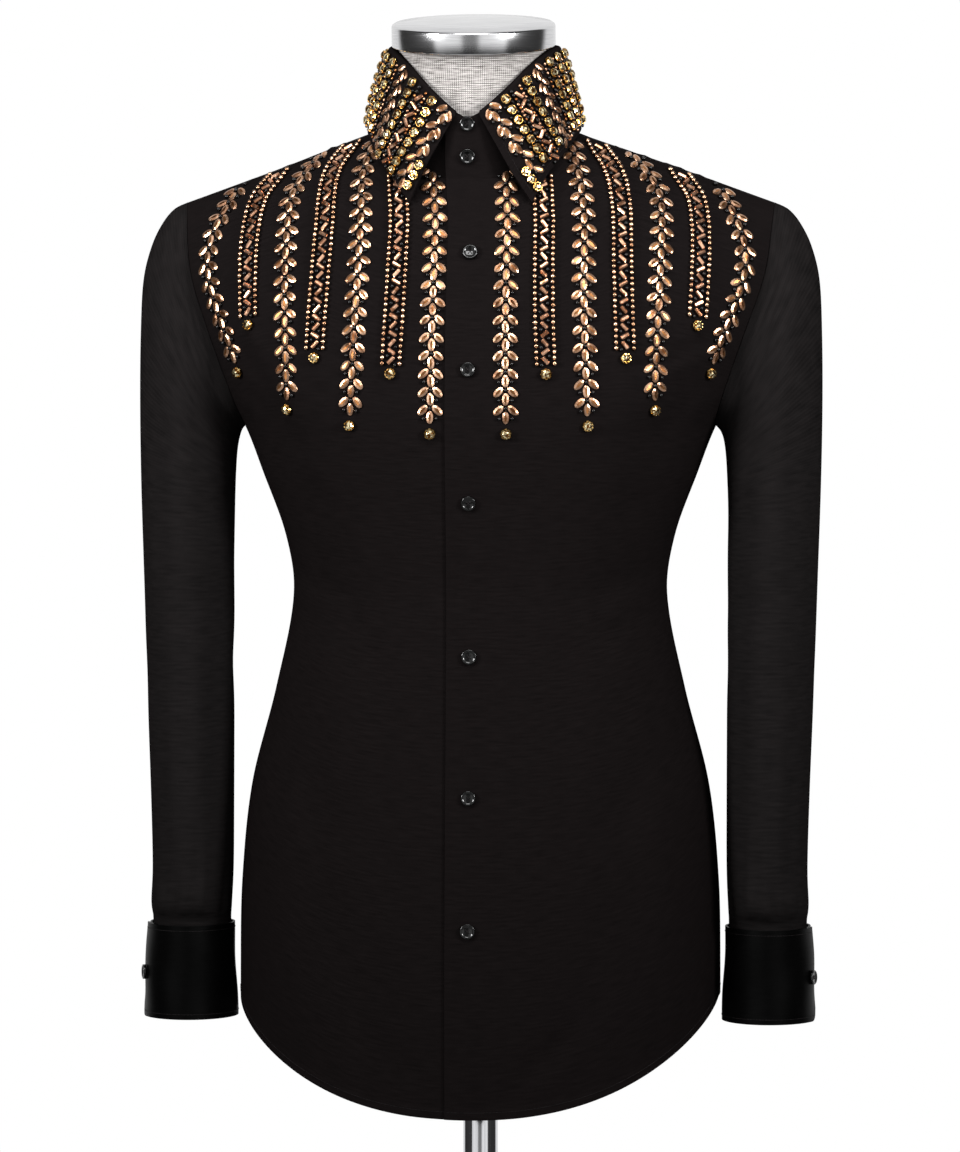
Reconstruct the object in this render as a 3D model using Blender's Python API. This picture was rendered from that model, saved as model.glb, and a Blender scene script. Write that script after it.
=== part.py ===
"""A beaded dress shirt, worn by a limbless dress form on a pole and a round base.

World axes: +Z is up, the shirt's front faces -Y and the wearer's left is +X.
The origin is the centre of the base's underside. The tables below are in
millimetres, and their z counts up from the lowest point of the front hem.
"""

import math
from collections import namedtuple

import bmesh
import bpy
from mathutils import Matrix, Vector
from mathutils.bvhtree import BVHTree
from mathutils.geometry import delaunay_2d_cdt

MM = 0.001
FRONT = -1
BACK = 1

# Driving sizes.
HEM_ABOVE_FLOOR = 740 * MM
SEAM_GAP = 0.3 * MM
PANEL_WALL = 1.2 * MM
SLEEVE_WALL = 1.2 * MM
CUFF_WALL = 1.6 * MM
STAND_WALL = 1.8 * MM
FALL_WALL = 2.0 * MM

# The body: its girth at each height, and how far the front armhole seam lies from the centre.
BodySection = namedtuple("BodySection", "z half_width front_depth back_depth arm_x")
BODY_SECTIONS = (
    BodySection(0, 189.5, 125, 135, 186),
    BodySection(110, 190.0, 126, 136, 186),
    BodySection(180, 188.5, 123, 131, 186),
    BodySection(255, 180.5, 117, 121, 186),
    BodySection(330, 161.5, 111, 112, 186),
    BodySection(404, 147.5, 107, 106, 186),
    BodySection(450, 153.5, 111, 110, 186),
    BodySection(500, 171.5, 118, 120, 186),
    BodySection(537, 186.0, 123, 127, 186),
    BodySection(560, 200.0, 124, 130, 192.5),
    BodySection(607, 222.5, 123, 134, 209),
    BodySection(656, 240.0, 120, 135, 225.4),
    BodySection(700, 246.0, 118, 134, 231),
    BodySection(716, 248.0, 117, 133, 232),
    BodySection(800, 250.0, 110, 130, 232),
)
ROUNDNESS = 2.4
UNDERARM_Z = 537 * MM
ARMHOLE_GAP = 0.45 * MM

# The shoulders: the ridge falls outwards from the neck, and each side vaults up to it.
VAULT_BASE_Z = 500 * MM
RIDGE_Z_AT_NECK = 768 * MM
RIDGE_X_AT_NECK = 78 * MM
RIDGE_SLOPE = 0.36
SHOULDER_TIP_X = 232 * MM
VAULT_POWERS = {FRONT: (2.4, 1.6), BACK: (4.0, 2.0)}

# The hem: the shirt tails are lowest at the centre front and back.
HEM_RISE = 90 * MM
BACK_TAIL_LIFT = 12 * MM

# The front opening: each front passes the centre line by the lap.
LAP = 18 * MM
LAP_DROP = PANEL_WALL + 0.9 * MM
LAP_BLEND_START = 50 * MM
LAP_BLEND_END = 20 * MM

# The neck stands a little to the wearer's right of the shoulders' middle, and the collar with it.
NECK_SHIFT = -4.5 * MM
NECK_SHIFT_LOW = 690 * MM
NECK_SHIFT_HIGH = 750 * MM
NECK_SHIFT_NEAR = 80 * MM
NECK_SHIFT_FAR = 170 * MM

# Columns and rows of the panels.
FRONT_NECK_COLUMNS = 5
BACK_NECK_COLUMNS = 8
SHOULDER_COLUMNS = 5
BODY_ROWS = 11
ARM_ROWS = 8

# The neckline, the collar stand and the fold of the collar.
NECK_HALF_WIDTH = 70 * MM
NECK_FRONT = 69 * MM
NECK_BACK = 64.5 * MM
STAND_TOP_HALF_WIDTH = 66 * MM
STAND_TOP_FRONT = 70.5 * MM
STAND_TOP_BACK = 58.5 * MM
STAND_SEAM_LIFT = 1.0 * MM
STAND_LAP_DROP = STAND_WALL + 0.4 * MM
STAND_LAP_START = 300
STAND_LAP_END = 340
StandTop = namedtuple("StandTop", "angle z")
STAND_TOPS = (
    StandTop(0, 778),
    StandTop(8, 783),
    StandTop(25, 799),
    StandTop(45, 818),
    StandTop(65, 830),
    StandTop(90, 834.5),
    StandTop(135, 836),
    StandTop(180, 836),
)
CollarEdge = namedtuple("CollarEdge", "fold_angle x y z")
COLLAR_EDGES = (
    CollarEdge(8, 48, -79, 713),
    CollarEdge(30, 61, -65, 734),
    CollarEdge(55, 76, -40, 754),
    CollarEdge(90, 84, 3, 771.5),
    CollarEdge(135, 62.5, 62, 772),
    CollarEdge(180, 0, 84, 772),
)
FALL_COLUMNS_PER_SIDE = 13
FALL_BULGE = 2 * MM
FALL_CLEARANCE = 0.4 * MM
FALL_LIFT = 0.8 * MM
FALL_TILT = 0.15
FALL_FLAT_SIZE = Vector((220, 75)) * MM

# Broad, soft folds of the fronts: a trough runs from one end to the other.
Fold = namedtuple("Fold", "x0 z0 x1 z1 width depth")
FRONT_FOLDS = (
    Fold(196, 590, 132, 520, 17, 3.5),
    Fold(190, 556, 126, 470, 16, 3.0),
    Fold(150, 440, 80, 395, 20, 2.2),
    Fold(150, 385, 70, 360, 20, 2.0),
    Fold(165, 300, 95, 210, 24, 2.5),
    Fold(120, 190, 70, 40, 24, 2.0),
)
BACK_FOLDS = (
    Fold(196, 590, 118, 505, 18, 3.5),
    Fold(92, 480, 84, 200, 20, 4.0),
    Fold(40, 470, 44, 260, 20, 2.5),
    Fold(150, 430, 70, 380, 20, 2.5),
    Fold(160, 300, 110, 160, 24, 2.5),
)

# The left sleeve: each ring leans from its outer point to its inner point.
SleeveRing = namedtuple("SleeveRing", "outer_x outer_z inner_x inner_z half_depth centre_y armhole_share")
SLEEVE_RINGS = (
    SleeveRing(232.4, 712, 186.5, 537, 52, 3, 1.0),
    SleeveRing(243.5, 706.5, 189.6, 533.5, 55, 3, 0.8),
    SleeveRing(253, 695, 191.2, 530, 57, 3, 0.5),
    SleeveRing(261.5, 677, 192.3, 526, 59, 3, 0.25),
    SleeveRing(267.5, 651, 193.2, 521, 61, 2, 0.1),
    SleeveRing(269.5, 610, 194.0, 514, 63, 1, 0),
    SleeveRing(270, 555, 194.6, 503, 63, 0, 0),
    SleeveRing(269, 490, 195.0, 480, 62, -2, 0),
    SleeveRing(266.5, 410, 195.4, 410, 60, -4, 0),
    SleeveRing(264, 330, 195.6, 330, 57, -7, 0),
    SleeveRing(261, 250, 195.6, 250, 54, -10, 0),
    SleeveRing(259.5, 190, 195.8, 190, 51, -12, 0),
    SleeveRing(260.5, 160, 197.0, 160, 48, -13, 0),
    SleeveRing(259.2, 147.5, 197.6, 147.5, 39.3, -13, 0),
    SleeveRing(259.2, 136, 197.4, 136, 39.4, -13, 0),
)
SLEEVE_TUCK_Z = 150 * MM
SleeveFold = namedtuple("SleeveFold", "angle z height spread depth")
SLEEVE_FOLDS = (
    SleeveFold(135, 470, 26, 40, 3.0),
    SleeveFold(112, 395, 22, 50, 3.0),
    SleeveFold(68, 340, 24, 45, 2.5),
    SleeveFold(248, 430, 26, 50, 3.0),
    SleeveFold(225, 350, 22, 45, 2.5),
    SleeveFold(45, 165, 14, 14, -3.0),
    SleeveFold(112, 165, 14, 14, -3.0),
)

# The cuffs: a band that laps over itself on the outer side.
CUFF_CENTRE_X = 229.5 * MM
CUFF_CENTRE_Y = -13 * MM
CuffRow = namedtuple("CuffRow", "z half_width half_depth")
CUFF_ROWS = (
    CuffRow(143, 34.5, 42),
    CuffRow(106, 35.9, 43),
    CuffRow(69, 37.4, 44),
)
CUFF_COLUMNS = 22
CUFF_UNDER_END = 40
CUFF_OVER_END = -355
CUFF_BLEND = 60
CUFF_CORNER = 10 * MM
CUFF_CORNER_ANGLE = 14
CUFF_BUTTON_ANGLE = 20
CUFF_BUTTON_Z = 104 * MM

# Rows of beads on the fronts: the centre line of each, from the shoulder seam down to its end stone.
BeadRow = namedtuple("BeadRow", "kind points")
BEAD_ROWS = {
    "leaf_row_1": BeadRow(
        "leaf", ((193, 719), (207, 690), (211, 664), (204.5, 636), (195, 611), (184.5, 580))
    ),
    "bugle_row_1": BeadRow(
        "bugle", ((160, 732), (172, 714), (176.5, 685), (176.4, 652), (174.8, 617))
    ),
    "leaf_row_2": BeadRow(
        "leaf", ((128, 744), (143, 722), (146.6, 696), (146, 638), (144.7, 606), (142.8, 552))
    ),
    "bugle_row_2": BeadRow("bugle", ((98, 755), (110, 737), (115, 714), (117.5, 665), (121, 592))),
    "leaf_row_3": BeadRow("leaf", ((80, 751), (85.4, 731), (87.4, 692), (88.6, 636), (92.5, 540))),
    "bugle_row_3": BeadRow("bugle", ((56.4, 727), (56.6, 692), (57.8, 638), (60.4, 580))),
    "leaf_row_4": BeadRow("leaf", ((28.5, 727), (28.2, 692), (28.4, 638), (29.7, 534))),
}
ROW_TOP_DROP = 2 * MM
ROW_SEGMENTS = 12
ROW_CLEARANCE = 0.8 * MM
ROW_BACKING = 0.5 * MM
LEAF_ROW_WIDTH = 20 * MM
LEAF_PITCH = 14.4 * MM
LEAF_LENGTH = 9.7 * MM
LEAF_BREADTH = 5.6 * MM
LEAF_START = 2.0 * MM
LEAF_HEIGHT = 1.8 * MM
LEAF_SPREAD = 49
BUGLE_ROW_WIDTH = 18.4 * MM
BUGLE_PITCH = 7.15 * MM
BUGLE_SWING = 2.4 * MM
BUGLE_HEIGHT = 1.7 * MM
RAIL_PLACE = 7.0 * MM
RAIL_FOOT = 4.6 * MM
RAIL_HEIGHT = 2.2 * MM
END_STONE = 9 * MM
END_STONE_HEIGHT = 2.8 * MM
END_TONGUE = 5 * MM
ROW_MARGIN = 0.3 * MM

# Beadwork of the collar: each line of stones runs from its fold to its edge, between these angles.
CollarLine = namedtuple("CollarLine", "kind fold_angle edge_angle")
COLLAR_LINES = (
    CollarLine("vine", 16.5, 17),
    CollarLine("chain", 28, 29.5),
    CollarLine("small chain", 35.5, 38),
    CollarLine("chain", 42, 47),
    CollarLine("vine", 54, 61),
    CollarLine("chain", 67, 77),
    CollarLine("chain", 79, 90),
    CollarLine("chain", 100, 108),
    CollarLine("vine", 118, 123),
    CollarLine("chain", 138, 141),
    CollarLine("chain", 160, 161),
)
CHATON = 7 * MM
CHATON_HEIGHT = 2.0 * MM
CHATON_PITCH = 8.6 * MM
SMALL_STONE_SHARE = 0.7
CHAIN_MARGIN = 6 * MM
VINE_PITCH = 12 * MM
VINE_START = 9 * MM
VINE_MARGIN = 14 * MM
VINE_SPREAD = 2.6 * MM
VINE_TURN = 40
VINE_LEAF_LENGTH = 8.5 * MM
VINE_LEAF_BREADTH = 4.6 * MM
VINE_LEAF_HEIGHT = 1.6 * MM

# Buttons.
BUTTON_PROFILE = ((0, 0), (5.6, 0), (6.4, 1.2), (5.4, 2.4), (4.0, 1.5), (0, 1.5))
BUTTON_SIDES = 10
BUTTON_REACH = 200 * MM
FRONT_BUTTON_Z = (674, 583.5, 480, 360, 250.5, 147.5)
STAND_BUTTON_Z = (774, 748)

# The dress form, its neck and cap, the pole and the base.
FORM_SECTION_Z = (128, 170, 240, 310, 370, 420, 470, 515, 560, 605, 650, 690, 710, 728, 742, 753, 761)
FORM_COLUMNS = 9
FORM_RIDGE_DROP = 1.9 * MM
FORM_VAULT_DROP = 4.5 * MM
FORM_EASE_TOP = 6 * MM
FORM_EASE_WAIST = 8 * MM
FORM_EASE_TOP_Z = 730 * MM
FORM_EASE_WAIST_Z = 650 * MM
FORM_ARM_INSET = 4 * MM
FORM_SIDE_SWEEP = 80
FORM_LEAST = 1 * MM
FORM_EDGE = 5 * MM
FORM_EDGE_SHARE = 0.97
NECK_BASE = Vector((-4.5, 5, 715)) * MM
NECK_TOP = Vector((-4.5, -11, 835)) * MM
NECK_RADII = (59.5, 56)
CAP_PROFILE = ((0, 0), (63, 0), (64.5, 1.5), (64.5, 15.5), (62, 18.5), (0, 21))
POLE_RADIUS = 13.7 * MM
BASE_PROFILE = (
    (0, 0),
    (178, 0),
    (180, 3),
    (178, 9),
    (28, 13),
    (22, 20),
    (22, 48),
    (14, 48),
    (14, 10),
    (0, 10),
)
BASE_SOCKET_FLOOR = 10 * MM
TURNED_SIDES = 28


def clear_scene():
    for obj in list(bpy.data.objects):
        bpy.data.objects.remove(obj)


def finish(name, colour, roughness, metallic=0.0):
    material = bpy.data.materials.new(name)
    material.use_nodes = True
    shader = material.node_tree.nodes["Principled BSDF"]
    shader.inputs["Base Color"].default_value = (*colour, 1.0)
    shader.inputs["Roughness"].default_value = roughness
    shader.inputs["Metallic"].default_value = metallic
    return material


def add_solid(name, bm, material, parent, place=None):
    """Makes a closed mesh one object of the model. A placed one isn't shifted with the neck."""
    if place is None:
        for vertex in bm.verts:
            vertex.co.x += neck_shift(vertex.co.x, vertex.co.z)
    bmesh.ops.recalc_face_normals(bm, faces=bm.faces[:])
    mesh = bpy.data.meshes.new(name)
    bm.to_mesh(mesh)
    bm.free()
    mesh.materials.append(material)
    mesh.shade_smooth()
    mesh.set_sharp_from_angle(angle=math.radians(40))
    obj = bpy.data.objects.new(name, mesh)
    bpy.context.scene.collection.objects.link(obj)
    obj.parent = parent
    if place is not None:
        obj.matrix_local = place
    return obj


# Reading the tables.


def smooth_column(rows, key, column):
    """A function that passes smoothly through one column of a table."""
    places = [getattr(row, key) * MM for row in rows]
    values = [getattr(row, column) * MM for row in rows]
    last = len(rows) - 1
    slopes = []
    for i in range(last + 1):
        low, high = max(i - 1, 0), min(i + 1, last)
        slopes.append((values[high] - values[low]) / (places[high] - places[low]))

    def value(place):
        place = min(max(place, places[0]), places[-1])
        i = 0
        while i < last - 1 and place > places[i + 1]:
            i += 1
        span = places[i + 1] - places[i]
        t = (place - places[i]) / span
        rise = values[i + 1] - values[i]
        start, end = slopes[i] * span, slopes[i + 1] * span
        return (
            values[i]
            + start * t
            + (3 * rise - 2 * start - end) * t**2
            + (start + end - 2 * rise) * t**3
        )

    return value


half_width = smooth_column(BODY_SECTIONS, "z", "half_width")
arm_x = smooth_column(BODY_SECTIONS, "z", "arm_x")
side_depth = {
    FRONT: smooth_column(BODY_SECTIONS, "z", "front_depth"),
    BACK: smooth_column(BODY_SECTIONS, "z", "back_depth"),
}


def ease(t):
    t = min(max(t, 0.0), 1.0)
    return t * t * (3 - 2 * t)


def neck_shift(x, z):
    """How far the cloth lies to the side of where it would be on an even body."""
    up = ease((z - NECK_SHIFT_LOW) / (NECK_SHIFT_HIGH - NECK_SHIFT_LOW))
    near = ease((NECK_SHIFT_FAR - abs(x)) / (NECK_SHIFT_FAR - NECK_SHIFT_NEAR))
    return NECK_SHIFT * up * near


# The surface of the body.


def ridge_z(x):
    return RIDGE_Z_AT_NECK - RIDGE_SLOPE * (abs(x) - RIDGE_X_AT_NECK)


def fold_depth(folds, x, z):
    """How deep the folds are here: each trough is deepest along its line and fades at its ends."""
    deep = 0.0
    for fold in folds:
        start = Vector((fold.x0, fold.z0)) * MM
        run = Vector((fold.x1, fold.z1)) * MM - start
        here = Vector((abs(x), z)) - start
        along = here.dot(run) / run.length_squared
        nearest = min(max(along, 0.0), 1.0)
        away = (here - run * nearest).length / (fold.width * MM)
        fade = ease((along + 0.25) / 0.4) * ease((1.25 - along) / 0.4)
        deep += fold.depth * MM * fade * math.exp(-away * away)
    return deep


def smooth_depth(x, z, side, ease_inside=0.0):
    """How far the body lies in front of the shoulder line, or behind it, before its folds.

    ease_inside gives the same form drawn that much closer to its middle.
    """
    share = min(abs(x) / (half_width(z) - ease_inside), 1.0)
    depth = (side_depth[side](z) - ease_inside) * (1 - share**ROUNDNESS) ** (1 / ROUNDNESS)
    if z > VAULT_BASE_Z:
        power, root = VAULT_POWERS[side]
        climb = min((z - VAULT_BASE_Z) / (ridge_z(x) - VAULT_BASE_Z), 1.0)
        depth *= (1 - climb**power) ** (1 / root)
    return depth


def body_depth(x, z, side):
    depth = smooth_depth(x, z, side)
    folds = FRONT_FOLDS if side == FRONT else BACK_FOLDS
    return depth - fold_depth(folds, x, z) * ease(depth / (40 * MM))


def z_on_body(x, y):
    """The height where the vaulted body is this far in front of the shoulder line or behind it."""
    side = FRONT if y < 0 else BACK
    power, root = VAULT_POWERS[side]
    z = ridge_z(x)
    for _ in range(6):
        share = min(abs(x) / half_width(z), 1.0)
        full = side_depth[side](z) * (1 - share**ROUNDNESS) ** (1 / ROUNDNESS)
        climb = (1 - min(abs(y) / full, 1.0) ** root) ** (1 / power)
        z = VAULT_BASE_Z + (ridge_z(x) - VAULT_BASE_Z) * climb
    return z


def hem_z(x_share, side):
    """The hem's height where the body is this share of its half width from the centre."""
    sine = min(abs(x_share), 1.0)
    cosine = math.sqrt(1 - sine * sine)
    shape = 0.5 * (1 - cosine) + 0.3 * sine**3 + 0.2 * sine**2
    lowest = 0.0 if side == FRONT else BACK_TAIL_LIFT
    return lowest + (HEM_RISE - lowest) * shape


def lap_inset(x, z):
    """The lower front lies under the upper one near the centre. Its own side of the centre is +x here."""
    slope = (body_depth(x, z + MM, FRONT) - body_depth(x, z - MM, FRONT)) / (2 * MM)
    near = ease((LAP_BLEND_START - x) / (LAP_BLEND_START - LAP_BLEND_END))
    return LAP_DROP * near * math.sqrt(1 + slope * slope)


def front_point(x, z, under):
    inset = lap_inset(x, z) if under else 0.0
    return Vector((x, -(body_depth(x, z, FRONT) - inset), z))


# Grids of points, and the walls made from them.


def mirrored(grid):
    return [[Vector((-p.x, p.y, p.z)) for p in reversed(row)] for row in grid]


def grid_normals(grid, closed):
    """Outward normals of a grid whose columns run to the right and rows run up, seen from outside."""
    last_row, columns = len(grid) - 1, len(grid[0])
    normals = []
    for i, row in enumerate(grid):
        line = []
        for j in range(columns):
            if closed:
                left, right = row[j - 1], row[(j + 1) % columns]
            else:
                left, right = row[max(j - 1, 0)], row[min(j + 1, columns - 1)]
            up = grid[min(i + 1, last_row)][j] - grid[max(i - 1, 0)][j]
            line.append((right - left).cross(up).normalized())
        normals.append(line)
    return normals


def wall(grid, thickness, closed=False, on_seam=None):
    """A closed wall: the grid is its outside, and its inside lies a thickness further in.

    on_seam says which points lie on the plane that parts front and back. The wall's end
    stays in that plane there.
    """
    bm = bmesh.new()
    rows, columns = len(grid), len(grid[0])
    outer, inner = [], []
    for row, line in zip(grid, grid_normals(grid, closed)):
        outer.append([bm.verts.new(p) for p in row])
        backs = []
        for p, normal in zip(row, line):
            if on_seam is not None and on_seam(p):
                normal = Vector((normal.x, 0, normal.z)).normalized()
            backs.append(bm.verts.new(p - normal * thickness))
        inner.append(backs)
    spans = columns if closed else columns - 1
    for i in range(rows - 1):
        for j in range(spans):
            k = (j + 1) % columns
            bm.faces.new((outer[i][j], outer[i][k], outer[i + 1][k], outer[i + 1][j]))
            bm.faces.new((inner[i][j], inner[i + 1][j], inner[i + 1][k], inner[i][k]))
    for i in (0, rows - 1):
        for j in range(spans):
            k = (j + 1) % columns
            bm.faces.new((outer[i][j], inner[i][j], inner[i][k], outer[i][k]))
    if not closed:
        for j in (0, columns - 1):
            for i in range(rows - 1):
                bm.faces.new((outer[i][j], outer[i + 1][j], inner[i + 1][j], inner[i][j]))
    return bm


# The panels of the body.


def arm_rise(row):
    """The share of the armhole's height at a row. Rows are close together at its two ends."""
    return math.sin(math.pi / 2 * row / ARM_ROWS) ** 2


def front_neck_angles():
    start = -math.degrees(math.asin(LAP / NECK_HALF_WIDTH))
    step = (90 - start) / FRONT_NECK_COLUMNS
    return [start + step * i for i in range(FRONT_NECK_COLUMNS + 1)]


def back_neck_angles():
    return [90 + 180 * i / BACK_NECK_COLUMNS for i in range(BACK_NECK_COLUMNS + 1)]


def neck_point(angle):
    """A point of the neckline. The angle is 0 at the centre front and 90 at the wearer's left."""
    sine, cosine = math.sin(math.radians(angle)), math.cos(math.radians(angle))
    x = NECK_HALF_WIDTH * sine
    y = -cosine * (NECK_FRONT if cosine > 0 else NECK_BACK)
    return Vector((x, y, z_on_body(x, y)))


def shoulder_points():
    """Points of the shoulder seam, from the neck to the tip."""
    span = SHOULDER_TIP_X - NECK_HALF_WIDTH
    places = [NECK_HALF_WIDTH + span * i / SHOULDER_COLUMNS for i in range(1, SHOULDER_COLUMNS + 1)]
    return [Vector((x, 0, ridge_z(x))) for x in places]


def column_x(share, z, edge_x):
    """x at a share of the way, by angle, from an edge near the centre to the side seam."""
    a = half_width(z)
    edge = math.asin(min(abs(edge_x) / a, 1.0) ** (ROUNDNESS / 2)) * (1 if edge_x > 0 else -1)
    angle = edge + (math.pi / 2 - edge) * share
    return math.copysign(a * abs(math.sin(angle)) ** (2 / ROUNDNESS), angle)


def half_panel(tops, edge_x, side, under=False):
    """Rows of points of a panel, from its edge near the centre to its side seam and armhole."""
    last = len(tops) - 1
    grid = []
    for i in range(BODY_ROWS):
        row = []
        for j in range(last + 1):
            z = UNDERARM_Z * i / BODY_ROWS
            for _ in range(3):
                x = column_x(j / last, z, edge_x)
                hem = hem_z(x / half_width(z), side)
                z = hem + (UNDERARM_Z - hem) * i / BODY_ROWS
            row.append(place_on_panel(x, z, side, under))
        grid.append(row)
    for i in range(ARM_ROWS + 1):
        row = []
        for j, top in enumerate(tops):
            z = UNDERARM_Z + (top.z - UNDERARM_Z) * arm_rise(i)
            low = (column_x(j / last, UNDERARM_Z, edge_x) - edge_x) / (arm_x(UNDERARM_Z) - edge_x)
            high = (top.x - edge_x) / (arm_x(top.z) - edge_x)
            share = low + (high - low) * i / ARM_ROWS
            x = edge_x + (arm_x(z) - edge_x) * share
            row.append(place_on_panel(x, z, side, under))
        grid.append(row)
    return grid


def place_on_panel(x, z, side, under):
    """A point of the panel's outside, kept half a seam's gap from the plane that parts front and back."""
    inset = lap_inset(x, z) if under else 0.0
    depth = max(body_depth(x, z, side) - inset, SEAM_GAP / 2)
    return Vector((x, side * depth, z))


def on_side_plane(point):
    return abs(point.y) < SEAM_GAP / 2 + 0.01 * MM


def front_grid(under):
    tops = [neck_point(angle) for angle in front_neck_angles()] + shoulder_points()
    return half_panel(tops, -LAP, FRONT, under)


def back_grid():
    """The wearer's right half joined to its mirror image, with columns from the left side to the right."""
    angles = [angle for angle in back_neck_angles() if angle <= 180]
    tops = [neck_point(angle) for angle in reversed(angles)] + shoulder_points()
    half = half_panel(tops, 0.0, BACK)
    return [
        [Vector(p) for p in reversed(row)] + [Vector((-p.x, p.y, p.z)) for p in row[1:]]
        for row in half
    ]


def make_panels(parent, cloth):
    left = front_grid(under=False)
    right = mirrored(front_grid(under=True))
    add_solid("front_left", wall(left, PANEL_WALL, on_seam=on_side_plane), cloth, parent)
    add_solid("front_right", wall(right, PANEL_WALL, on_seam=on_side_plane), cloth, parent)
    add_solid("back", wall(back_grid(), PANEL_WALL, on_seam=on_side_plane), cloth, parent)


# Sleeves and cuffs.


def armhole_ring():
    """The armhole's points in the sleeve's order: from the tip down its front, and up its back."""
    tip_z = ridge_z(SHOULDER_TIP_X)
    ring = []
    for i in range(2 * ARM_ROWS):
        row = abs(ARM_ROWS - i)
        side = FRONT if i <= ARM_ROWS else BACK
        z = UNDERARM_Z + (tip_z - UNDERARM_Z) * arm_rise(row)
        depth = 0.0 if row in (0, ARM_ROWS) else body_depth(arm_x(z), z, side)
        ring.append(Vector((arm_x(z) + ARMHOLE_GAP, side * depth, z)))
    return ring


def leaning_ring(ring, angle):
    """A point of an oval that leans from its outer point to its inner one. Angle 90 is its front."""
    outer = Vector((ring.outer_x, ring.centre_y, ring.outer_z)) * MM
    inner = Vector((ring.inner_x, ring.centre_y, ring.inner_z)) * MM
    sweep = (outer - inner) / 2 * math.cos(angle)
    return (outer + inner) / 2 + sweep - Vector((0, ring.half_depth * MM * math.sin(angle), 0))


def sleeve_fold_depth(angle, z):
    deep = 0.0
    for fold in SLEEVE_FOLDS:
        turn = (math.degrees(angle) - fold.angle + 180) % 360 - 180
        away = (turn / fold.spread) ** 2 + ((z / MM - fold.z) / fold.height) ** 2
        deep += fold.depth * MM * math.exp(-away)
    return deep


def sleeve_grid():
    """Rings from the armhole down into the cuff, as rows that run up."""
    count = 2 * ARM_ROWS
    angles = [2 * math.pi * i / count for i in range(count)]
    seam = armhole_ring()
    grid = []
    for ring in SLEEVE_RINGS:
        row = []
        centre = leaning_ring(ring, 0).lerp(leaning_ring(ring, math.pi), 0.5)
        for angle, at_seam in zip(angles, seam):
            point = leaning_ring(ring, angle)
            point += (at_seam - leaning_ring(SLEEVE_RINGS[0], angle)) * ring.armhole_share
            inward = centre - point
            inward.z = 0
            if ring.armhole_share == 0 and point.z > SLEEVE_TUCK_Z:
                point += inward.normalized() * sleeve_fold_depth(angle, point.z)
            row.append(point)
        grid.append(row)
    return [list(reversed(row)) for row in reversed(grid)]


def cuff_grid():
    """The cuff's outside, from its upper end round to its lower end, as rows that run up."""
    sweep = CUFF_UNDER_END - CUFF_OVER_END
    lap = sweep - 360
    grid = []
    for row_number, cuff_row in enumerate(CUFF_ROWS):
        row = []
        for i in range(CUFF_COLUMNS + 1):
            turned = sweep * i / CUFF_COLUMNS
            angle = math.radians(CUFF_UNDER_END - turned)
            inset = (CUFF_WALL + SEAM_GAP) * (1 - ease((turned - lap) / CUFF_BLEND))
            z = cuff_row.z * MM
            if row_number == len(CUFF_ROWS) - 1:
                past = 1 - min((sweep - turned) / CUFF_CORNER_ANGLE, 1.0)
                z += CUFF_CORNER * (1 - math.sqrt(1 - past * past))
            x = CUFF_CENTRE_X + (cuff_row.half_width * MM - inset) * math.cos(angle)
            y = CUFF_CENTRE_Y - (cuff_row.half_depth * MM - inset) * math.sin(angle)
            row.append(Vector((x, y, z)))
        grid.append(row)
    return list(reversed(grid))


def make_sleeves(parent, cloth, satin):
    sleeve, cuff = sleeve_grid(), cuff_grid()
    sides = (("left", sleeve, cuff), ("right", mirrored(sleeve), mirrored(cuff)))
    for side, sleeve_rows, cuff_rows in sides:
        add_solid(f"sleeve_{side}", wall(sleeve_rows, SLEEVE_WALL, closed=True), cloth, parent)
        add_solid(f"cuff_{side}", wall(cuff_rows, CUFF_WALL), satin, parent)


# The collar.


def stand_angles():
    """The stand's columns, from its upper end at the centre front round to its lower end."""
    front = front_neck_angles()
    other_front = [360 - angle for angle in reversed(front)]
    return front[:-1] + back_neck_angles() + other_front[1:]


def stand_top_z(angle):
    rows = [StandTop(row.angle / MM, row.z) for row in STAND_TOPS]
    folded = angle if angle <= 180 else 360 - angle
    return smooth_column(rows, "angle", "z")(abs(folded))


def stand_point(angle, rise):
    """The stand's outside at a share of its height. Its lower end lies under its upper one."""
    sine, cosine = math.sin(math.radians(angle)), math.cos(math.radians(angle))
    top_y = -cosine * (STAND_TOP_FRONT if cosine > 0 else STAND_TOP_BACK)
    top = Vector((STAND_TOP_HALF_WIDTH * sine, top_y, stand_top_z(angle)))
    foot = neck_point(angle) + Vector((0, 0, STAND_SEAM_LIFT))
    point = foot.lerp(top, rise)
    under = ease((angle - STAND_LAP_START) / (STAND_LAP_END - STAND_LAP_START))
    point += Vector((-sine, cosine, 0)) * STAND_LAP_DROP * under
    return point


def make_stand(parent, cloth):
    grid = [[stand_point(angle, rise) for angle in stand_angles()] for rise in (0, 0.5, 1)]
    add_solid("collar_stand", wall(grid, STAND_WALL), cloth, parent)


def collar_edge(angle):
    """The fall's lower edge under a place of its fold."""
    rows = [CollarEdge(row.fold_angle / MM, row.x, row.y, row.z) for row in COLLAR_EDGES]
    values = [smooth_column(rows, "fold_angle", axis)(angle) for axis in ("x", "y", "z")]
    return Vector(values)


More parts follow.
